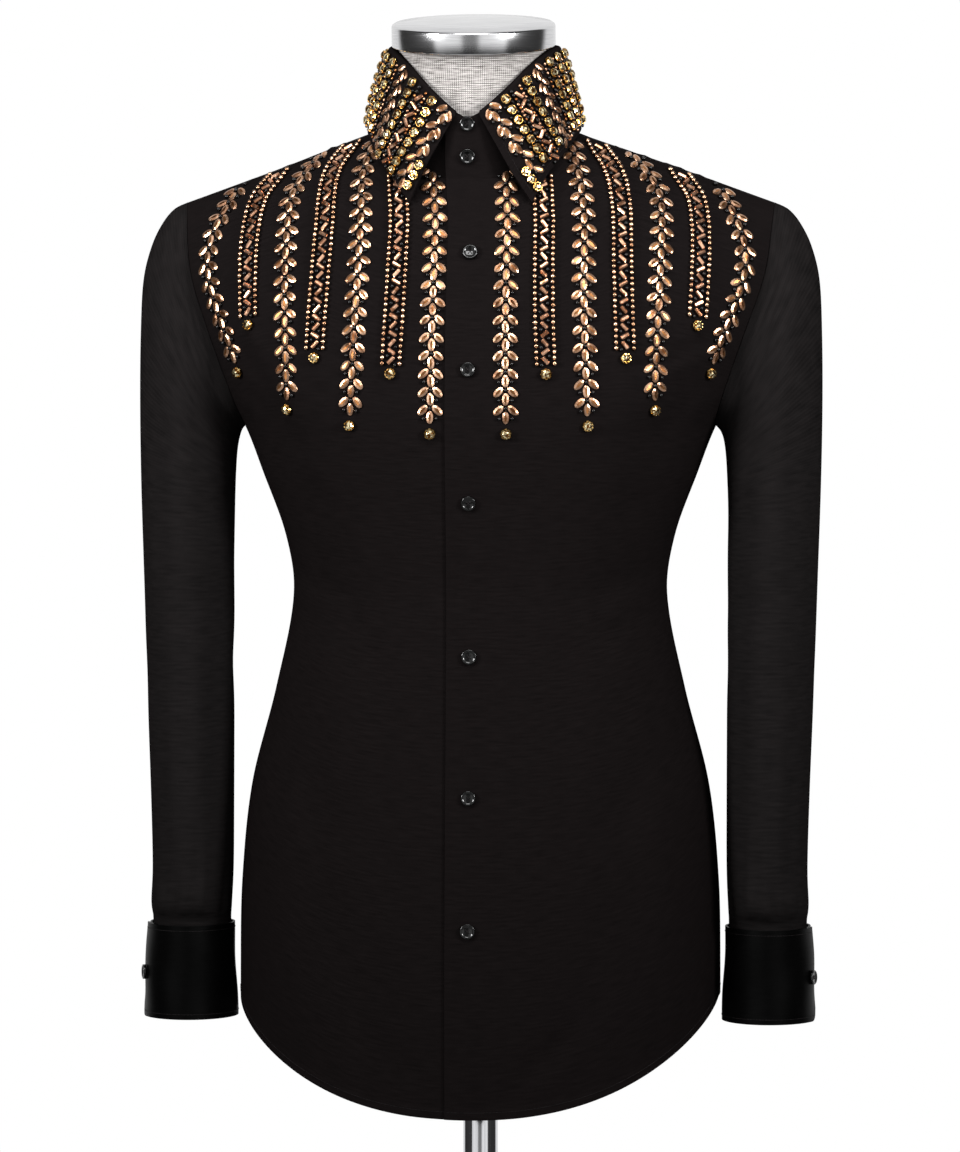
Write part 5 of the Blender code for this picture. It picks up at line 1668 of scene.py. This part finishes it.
def stitches(name, seams, slot="shirt_cloth"):
    """Lays stitches along seams. A seam is a list of points on the cloth with their normals."""
    placings = []
    for seam in seams:
        lengths = running_lengths([point for point, normal in seam])
        k = 0
        for i in range(int(lengths[-1] / STITCH_PITCH)):
            place = (i + 0.5) * STITCH_PITCH
            while lengths[k + 1] < place:
                k += 1
            t = (place - lengths[k]) / (lengths[k + 1] - lengths[k])
            (here, normal), (there, next_normal) = seam[k : k + 2]
            run, outward = there - here, normal.lerp(next_normal, t)
            placings.append((stitch, bead_place(here.lerp(there, t), run, outward, loose=STITCH_LOOSE)))
    lay(name, placings, slot)


def on_surface(at, a, b, steps, hand):
    """The point at(a, b), the way up and the normal there, from small steps in a and b."""
    across = at(a + steps[0], b) - at(a - steps[0], b)
    up = at(a, b + steps[1]) - at(a, b - steps[1])
    return in_frame(at(a, b)), up, across.cross(up).normalized() * hand


def seam_on(at, places, hand, steps=SMALL_STEPS):
    """A seam through points at(a, b). The hand is -1 where a runs to the left, seen from outside."""
    surface = [on_surface(at, a, b, steps, hand) for a, b in places]
    return [(point, normal) for point, up, normal in surface]


print("stitch ready")

# %% Stitching of the hem and the shoulders
PROUD = 0.3 * MM
HEM_STITCH = 5.9 * MM
HEM_LEVELS = {FRONT: 20 * MM, BACK: 30 * MM}
FRONT_START = -LAP + 2 * MM
SHOULDER_STITCH = 4 * MM
SHOULDER_SEAM_START = 76 * MM
SHOULDER_SEAM_RUN = 150 * MM


def front_at(hand):
    """Points just above a front. The hand is 1 for the wearer's left and -1 for the right."""

    def at(x, z):
        point = panel_point(x, z, FRONT, hand < 0, hand < 0, PROUD)
        return Vector((hand * point.x, point.y, point.z))

    return at


def back_at(x, z):
    return panel_point(x, z, BACK, False, False, PROUD)


def above_hem(x, side):
    return x, hem_z(x / half_width(HEM_LEVELS[side]), side) + HEM_STITCH


front_xs = [column_x(i / 101, HEM_LEVELS[FRONT], FRONT_START) for i in range(101)]
places = [above_hem(x, FRONT) for x in front_xs]
hem_seams = [seam_on(front_at(hand), places, hand) for hand in (1, -1)]
half_xs = [column_x(i / 100, HEM_LEVELS[BACK], 0.0) for i in range(1, 100)]
back_xs = [-x for x in reversed(half_xs)] + [0.0] + half_xs
hem_seams.append(seam_on(back_at, [above_hem(x, BACK) for x in back_xs], -1))
stitches("hem_stitches", hem_seams)

seam_xs = [SHOULDER_SEAM_START + SHOULDER_SEAM_RUN * i / 60 for i in range(61)]
places = [(x, z_on_body(x, -SHOULDER_STITCH)) for x in seam_xs]
stitches("shoulder_stitches", [seam_on(front_at(hand), places, hand) for hand in (1, -1)])

# %% Stitching of the cuffs and the collar's edge
CUFF_STITCH_RISES = (0.055, 0.945)
CUFF_STITCH_START = 0.01
CUFF_STITCH_RUN = 0.975
CUFF_STEPS_AROUND = (0.5, 0.02)
EDGE_STITCH_ANGLE = FALL_FIRST + 4.2
EDGE_STITCH_START = 0.05
EDGE_STITCH_RUN = 0.88
EDGE_STITCH_DROP = 0.94


def cuff_at(hand):
    def at(turned, rise):
        point = cuff_point(turned, rise)
        return Vector((hand * point.x, point.y, point.z))

    return at


cuff_seams = []
for hand in (1, -1):
    for rise in CUFF_STITCH_RISES:
        shares = [CUFF_STITCH_START + CUFF_STITCH_RUN * i / 150 for i in range(151)]
        places = [(CUFF_SWEEP * share, rise) for share in shares]
        cuff_seams.append(seam_on(cuff_at(hand), places, hand, CUFF_STEPS_AROUND))
stitches("cuff_stitches", cuff_seams, "cuff_satin")

drops = [EDGE_STITCH_START + EDGE_STITCH_RUN * i / 60 for i in range(61)]
angles = [EDGE_STITCH_ANGLE + 2 * (180 - EDGE_STITCH_ANGLE) * i / 200 for i in range(201)]
collar_lines = [
    [collar_spot(EDGE_STITCH_ANGLE, drop) for drop in drops],
    [collar_spot(-EDGE_STITCH_ANGLE, drop) for drop in drops],
    [collar_spot(angle if angle <= 180 else angle - 360, EDGE_STITCH_DROP) for angle in angles],
]
stitches("collar_stitches", [[(at.point, at.normal) for at in spots] for spots in collar_lines])

# %% [markdown]
# The buttons are turned from black resin: a raised rounded rim, a shallow bowl and four holes, sewn with
# black thread. One is modelled from a cylinder and copied ten times, each copy seated on the cloth
# where its solid is.

# %% One button
# Each inset of the rim and the bowl is a step inwards and a step up, in millimetres.
BUTTON_FOOT = 5.8
FOOT_HEIGHT = 1.2
BUTTON_RIM = ((-0.5, 0.3), (0.0, 0.5), (0.35, 0.35), (0.7, 0.05))
BUTTON_BOWL = ((0.55, -0.5), (0.6, -0.25))
HOLE_PLACE = 1.25
HOLE_RADIUS = 0.6
HOLE_DEPTH = 0.06
FLOOR_HEIGHT = 1.65
THREAD_RADIUS = 0.24
THREAD_RUN = 2 * HOLE_PLACE * math.sqrt(2)

button = cylinder("button_pattern", 32, BUTTON_FOOT, FOOT_HEIGHT, (0, 0, FOOT_HEIGHT / 2))
button.data.materials.append(gloss_resin)
mode("EDIT")
pick(button, is_top)
insets(*BUTTON_RIM, *BUTTON_BOWL)
mode("OBJECT")
parts = [button]
for x, y in ((-1, -1), (1, -1), (1, 1), (-1, 1)):
    middle = (x * HOLE_PLACE, y * HOLE_PLACE, FLOOR_HEIGHT)
    parts.append(cylinder("hole", 10, HOLE_RADIUS, HOLE_DEPTH, middle))
for turn in (math.pi / 4, -math.pi / 4):
    middle = (0, 0, FLOOR_HEIGHT + THREAD_RADIUS / 2)
    lying = (math.pi / 2, 0, turn)
    parts.append(cylinder("button_thread", 8, THREAD_RADIUS, THREAD_RUN, middle, rotation=lying))
for part in parts[1:]:
    part.data.materials.append(black_thread)
join(parts)
smooth_by(40)
end_bead(button)

# %% The ten buttons on the cloth
FRONT_BUTTON_Z = (674, 583.5, 480, 360, 250.5, 147.5)
STAND_BUTTON_Z = (774, 748)
CUFF_BUTTON_TURNED = 380
CUFF_BUTTON_RISE = (104 * MM - CUFF_LOW) / (CUFF_HIGH - CUFF_LOW)
BUTTON_LIFT = 0.15 * MM
BUTTON_LOOSE = 1.5
FRONT_STEPS = (4 * MM, 4 * MM)
ROUND_STEPS = (3, 0.05)


def button_on(name, at, a, b, steps, hand=1):
    point, up, normal = on_surface(at, a, b, steps, hand)
    place = bead_place(point + normal * BUTTON_LIFT, up, normal, loose=BUTTON_LOOSE)
    lay(f"{name}_turned", [(button, place)], "black_buttons", name)


for number, z in enumerate(FRONT_BUTTON_Z, start=1):
    button_on(f"button_front_{number}", front_at(1), 0, z * MM, FRONT_STEPS)
for number, z in enumerate(STAND_BUTTON_Z, start=1):
    rise = (z * MM - neck_point(0).z) / (top_of_stand(0) - neck_point(0).z)
    button_on(f"button_stand_{number}", stand_point, 0, rise, ROUND_STEPS)
turned, rise = CUFF_BUTTON_TURNED, CUFF_BUTTON_RISE
for side, hand in (("left", 1), ("right", -1)):
    button_on(f"button_cuff_{side}", cuff_at(hand), turned, rise, ROUND_STEPS, hand)

# %% [markdown]
# The form inside is a limbless torso covered in linen. Only its neck and its lower edge can be seen, but
# the whole is made, because the open hem shows it from below. It follows the shirt's own body tables,
# drawn in by the ease that a shirt has over a form.

# %% The form's torso
FORM_SECTION_Z = (128, 170, 240, 310, 370, 420, 470, 515, 560, 605, 650, 690, 710, 728, 742, 753, 761)
FORM_GAP = 6 * MM
FORM_GAP_MORE = 2 * MM
FORM_GAP_FROM = 730 * MM
FORM_GAP_BLEND = 80 * MM
FORM_RIDGE_DROP = 1.9 * MM
FORM_VAULT_DROP = 4.5 * MM
FORM_ARM_INSET = 4 * MM
FORM_LEAST = 1 * MM
FORM_EDGE = ((0.992, 2.5 * MM), (0.97, 5 * MM))
FORM_STEPS = 5
FORM_COLUMNS = 41
FORM_SIDE_SWEEP = math.radians(80)
FORM_FLANK_X = 0.17


def form_ring(z):
    """A level ring of the torso, counter-clockwise seen from above."""
    gap = FORM_GAP + FORM_GAP_MORE * ease((FORM_GAP_FROM - z) / FORM_GAP_BLEND)
    if z < UNDERARM_Z:
        reach = half_width(z) - gap
    else:
        on_ridge = RIDGE_X_AT_NECK + (RIDGE_Z_AT_NECK - z - FORM_RIDGE_DROP) / RIDGE_SLOPE
        reach = min(arm_x(z) - FORM_ARM_INSET, on_ridge - FORM_LEAST)

    def point(turn, side):
        x = math.copysign(reach * abs(math.sin(turn)) ** (2 / ROUNDNESS), turn)
        depth = smooth_depth(x, z + FORM_VAULT_DROP, side, gap)
        return Vector((x, side * max(depth, FORM_LEAST), z))

    turns = [FORM_SIDE_SWEEP * (2 * i / (FORM_COLUMNS - 1) - 1) for i in range(FORM_COLUMNS)]
    front = [point(turn, FRONT) for turn in turns]
    rear = [point(turn, BACK) for turn in reversed(turns)]
    return front + [Vector((reach, 0, z))] + rear + [Vector((-reach, 0, z))]


heights = []
for low, high in zip(FORM_SECTION_Z, FORM_SECTION_Z[1:]):
    heights += [low + (high - low) * k / FORM_STEPS for k in range(FORM_STEPS)]
rings = [form_ring(z * MM) for z in heights + [FORM_SECTION_Z[-1]]]
lowest = rings[0]
for share, drop in FORM_EDGE:
    rings.insert(0, [Vector((p.x * share, p.y * share, p.z - drop)) for p in lowest])
columns = len(lowest)
faces = grid_faces(len(rings), columns, True)
faces.append(tuple(reversed(range(columns))))
faces.append(tuple(range((len(rings) - 1) * columns, len(rings) * columns)))
form_body = new_object("form_body", [in_frame(p) for ring in rings for p in ring], faces)
chart = form_body.data.uv_layers.new(name="cloth")
for loop in form_body.data.loops:
    i, j = divmod(loop.vertex_index, columns)
    p = rings[i][j]
    chart.data[loop.index].uv = (p.x if abs(p.x) < FORM_FLANK_X else p.y, p.z)
form_body.data.materials.append(flecked_linen)
work_on(form_body)
smooth_by(40)
hand_over(form_body, "form_linen", "form_torso")

# %% The form's neck
NECK_BASE = Vector((-4.5, 5, 715)) * MM
NECK_TOP = Vector((-4.5, -11, 835)) * MM
NECK_RADII = (59.5, 56)
UP_TO_FRAME = Vector((0, 0, HEM_ABOVE_FLOOR))
axis = NECK_TOP - NECK_BASE
middle = NECK_BASE + axis / 2 + UP_TO_FRAME
lean = axis.to_track_quat("Z", "Y").to_euler()
size = (NECK_RADII[0] * MM, NECK_RADII[1] * MM, 1)
form_neck = cylinder("form_neck", 72, 1, axis.length, middle, rotation=lean, scale=size)
fix_size()
points = [vertex.co for vertex in form_neck.data.vertices]
chart = form_neck.data.uv_layers.active
for face in form_neck.data.polygons:
    turns = [math.atan2(points[number].x, -points[number].y) for number in face.vertices]
    for loop, number, turn in zip(face.loop_indices, face.vertices, turns):
        whole = turn + 2 * math.pi if max(turns) - turn > math.pi else turn
        chart.data[loop].uv = (whole * NECK_RADII[0] * MM, points[number].z)
form_neck.data.materials.append(flecked_linen)
apply_modifier(form_neck, "BEVEL", width=1.5 * MM, segments=2, limit_method="ANGLE")
smooth_by(40)
hand_over(form_neck, "form_linen", "form_torso")
print("neck leans", round(math.degrees(lean.x), 1), "degrees")

# %% [markdown]
# A turned steel cap closes the neck. It is a disc 17 mm thick with rounded edges and a slightly domed
# top. Below, a chromed tube carries the form and stands in a round nickelled plate with a socket.

# %% The cap
CAP_RADIUS = 64.5 * MM
CAP_BAND = 17 * MM
CAP_DOME = ((2.5 * MM, 1.4 * MM), (18 * MM, 1.4 * MM), (24 * MM, 0.8 * MM))
seat = NECK_TOP + axis.normalized() * (SEAM_GAP + CAP_BAND / 2) + UP_TO_FRAME
cap = cylinder("neck_cap", 96, CAP_RADIUS, CAP_BAND, seat, rotation=lean)
mode("EDIT")
pick(cap, is_top)
insets(*CAP_DOME)
mode("OBJECT")
fix_size()
cap.data.materials.append(turned_steel)
apply_modifier(cap, "BEVEL", width=1.2 * MM, segments=3, limit_method="ANGLE", angle_limit=math.radians(25))
smooth_by(30)
hand_over(cap, "form_steel", "form_cap")

# %% The pole and the base
POLE_RADIUS = 13.7 * MM
POLE_FOOT = 10.3 * MM
POLE_TOP = HEM_ABOVE_FLOOR + (FORM_SECTION_Z[0] - 5.3) * MM
BASE_PROFILE = ((178, 0), (180, 3), (178, 9), (28, 13), (22, 20), (22, 48), (14, 48), (14, 10))
middle = (0, 0, (POLE_TOP + POLE_FOOT) / 2)
pole = cylinder("pole_tube", 64, POLE_RADIUS, POLE_TOP - POLE_FOOT, middle)
fix_size()
pole.data.materials.append(chrome)
apply_modifier(pole, "BEVEL", width=0.8 * MM, segments=2, limit_method="ANGLE")
smooth_by(30)
hand_over(pole, "form_steel", "form_pole")

outline = bpy.ops.mesh.primitive_circle_add
base = start(outline, "base_plate", vertices=96, radius=BASE_PROFILE[0][0] * MM)
mode("EDIT")
bpy.ops.mesh.select_all(action="SELECT")
for (radius, height), (wide, high) in zip(BASE_PROFILE, BASE_PROFILE[1:]):
    bpy.ops.mesh.extrude_edges_move(TRANSFORM_OT_translate={"value": (0, 0, (high - height) * MM)})
    bpy.ops.transform.resize(value=(wide / radius, wide / radius, 1))
bpy.ops.mesh.fill()
pick(base, lambda p: p.z < 0.1 * MM, "VERT")
bpy.ops.mesh.edge_face_add()
bpy.ops.mesh.select_all(action="SELECT")
bpy.ops.mesh.normals_make_consistent(inside=False)
mode("OBJECT")
base.data.materials.append(rubbed_nickel)
apply_modifier(base, "BEVEL", width=1 * MM, segments=2, limit_method="ANGLE", angle_limit=math.radians(35))
smooth_by(30)
hand_over(base, "form_steel", "form_base")

# %% [markdown]
# The photograph is of a garment on pure white, lit softly from both sides. White light from all round
# would flatten black cloth and polished metal, so what the camera sees is white, but what lights the
# shirt is a room with dark side walls. Its bright parts can be read from the steel cap, which mirrors
# them as bands: paper behind, large lamps on both sides of the camera, and a dim gap between them.

# %% Patterns away, and the floor
FLOOR_RADIUS = 2.5
FLOOR_Z = -0.002
for pattern in (
    leaf, collar_stone, end_stone, rail_bead, bugle, jet_bead, amber_bead, copper_bead, stitch, button
):
    bpy.data.objects.remove(pattern)

outline = bpy.ops.mesh.primitive_circle_add
floor = start(outline, "floor", vertices=96, radius=FLOOR_RADIUS, fill_type="NGON")
floor.location.z = FLOOR_Z
fix_size()
floor.data.materials.append(floor_paint)
print("floor at", FLOOR_Z)

# %% The world
# From straight behind the shirt (0) round either side to the front (1): paper, dark walls, lamps.
ROOM = ((0.28, 0.9), (0.34, 0.03), (0.69, 0.05), (0.72, 1.0), (0.92, 1.0), (0.95, 0.25))
# Little light comes up from below, so the shirt darkens towards its hem.
FROM_BELOW = {"From Min": -0.45, "From Max": -0.22, "To Min": 0.06, "To Max": 1.0}

world = bpy.data.worlds.new("studio")
bpy.context.scene.world = world
world.use_nodes = True
lighting = world.node_tree.nodes["Background"]
shown = add_node(world, "Background", values={"Color": (1, 1, 1, 1), "Strength": 1.0})
rays = add_node(world, "LightPath")
direction = add_node(world, "TexCoord")
parts_of = add_node(world, "SeparateXYZ", {"Vector": (direction, "Generated")})
bearing = add_node(world, "Math", {0: (parts_of, "X"), 1: (parts_of, "Y")}, operation="ARCTAN2")
away = add_node(world, "Math", {0: (bearing, 0)}, operation="ABSOLUTE")
share = add_node(world, "Math", {0: (away, 0)}, {1: math.pi}, operation="DIVIDE")
stops = [(place, (tone, tone, tone, 1)) for place, tone in ROOM]
room = add_node(world, "ValToRGB", {"Fac": (share, 0)}, stops=stops)
below = add_node(world, "MapRange", {"Value": (parts_of, "Z")}, FROM_BELOW)
seen = {0: (rays, "Is Camera Ray"), 1: (lighting, "Background"), 2: (shown, "Background")}
either = add_node(world, "MixShader", seen)
for output, socket in (
    (room.outputs["Color"], lighting.inputs["Color"]),
    (below.outputs["Result"], lighting.inputs["Strength"]),
    (either.outputs["Shader"], world.node_tree.nodes["World Output"].inputs["Surface"]),
):
    world.node_tree.links.new(output, socket)
print(len(world.node_tree.nodes), "nodes light the room")

# %% Lamps
LAMPS = table(
    "name x y z width height watts",
    ("softbox_left", -1.65, -1.4, 1.9, 0.55, 0.75, 10),
    ("softbox_right", 1.65, -1.35, 1.9, 0.55, 0.75, 9.5),
    ("softbox_above", 0.0, -1.2, 2.7, 1.0, 0.6, 4),
)
AIM_HEIGHT = 1.6
LAMP_SPREAD = math.radians(68)
for lamp in LAMPS:
    bpy.ops.object.select_all(action="DESELECT")
    place = Vector((lamp.x, lamp.y, lamp.z))
    aim = (place - Vector((0, 0, AIM_HEIGHT))).to_track_quat("Z", "Y").to_euler()
    bpy.ops.object.light_add(type="AREA", location=place, rotation=aim)
    light = bpy.context.object
    light.name = lamp.name
    light.data.shape = "RECTANGLE"
    light.data.size = lamp.width
    light.data.size_y = lamp.height
    light.data.energy = lamp.watts
    light.data.spread = LAMP_SPREAD
bpy.context.scene.view_settings.view_transform = "Standard"
print(len(LAMPS), "lamps")
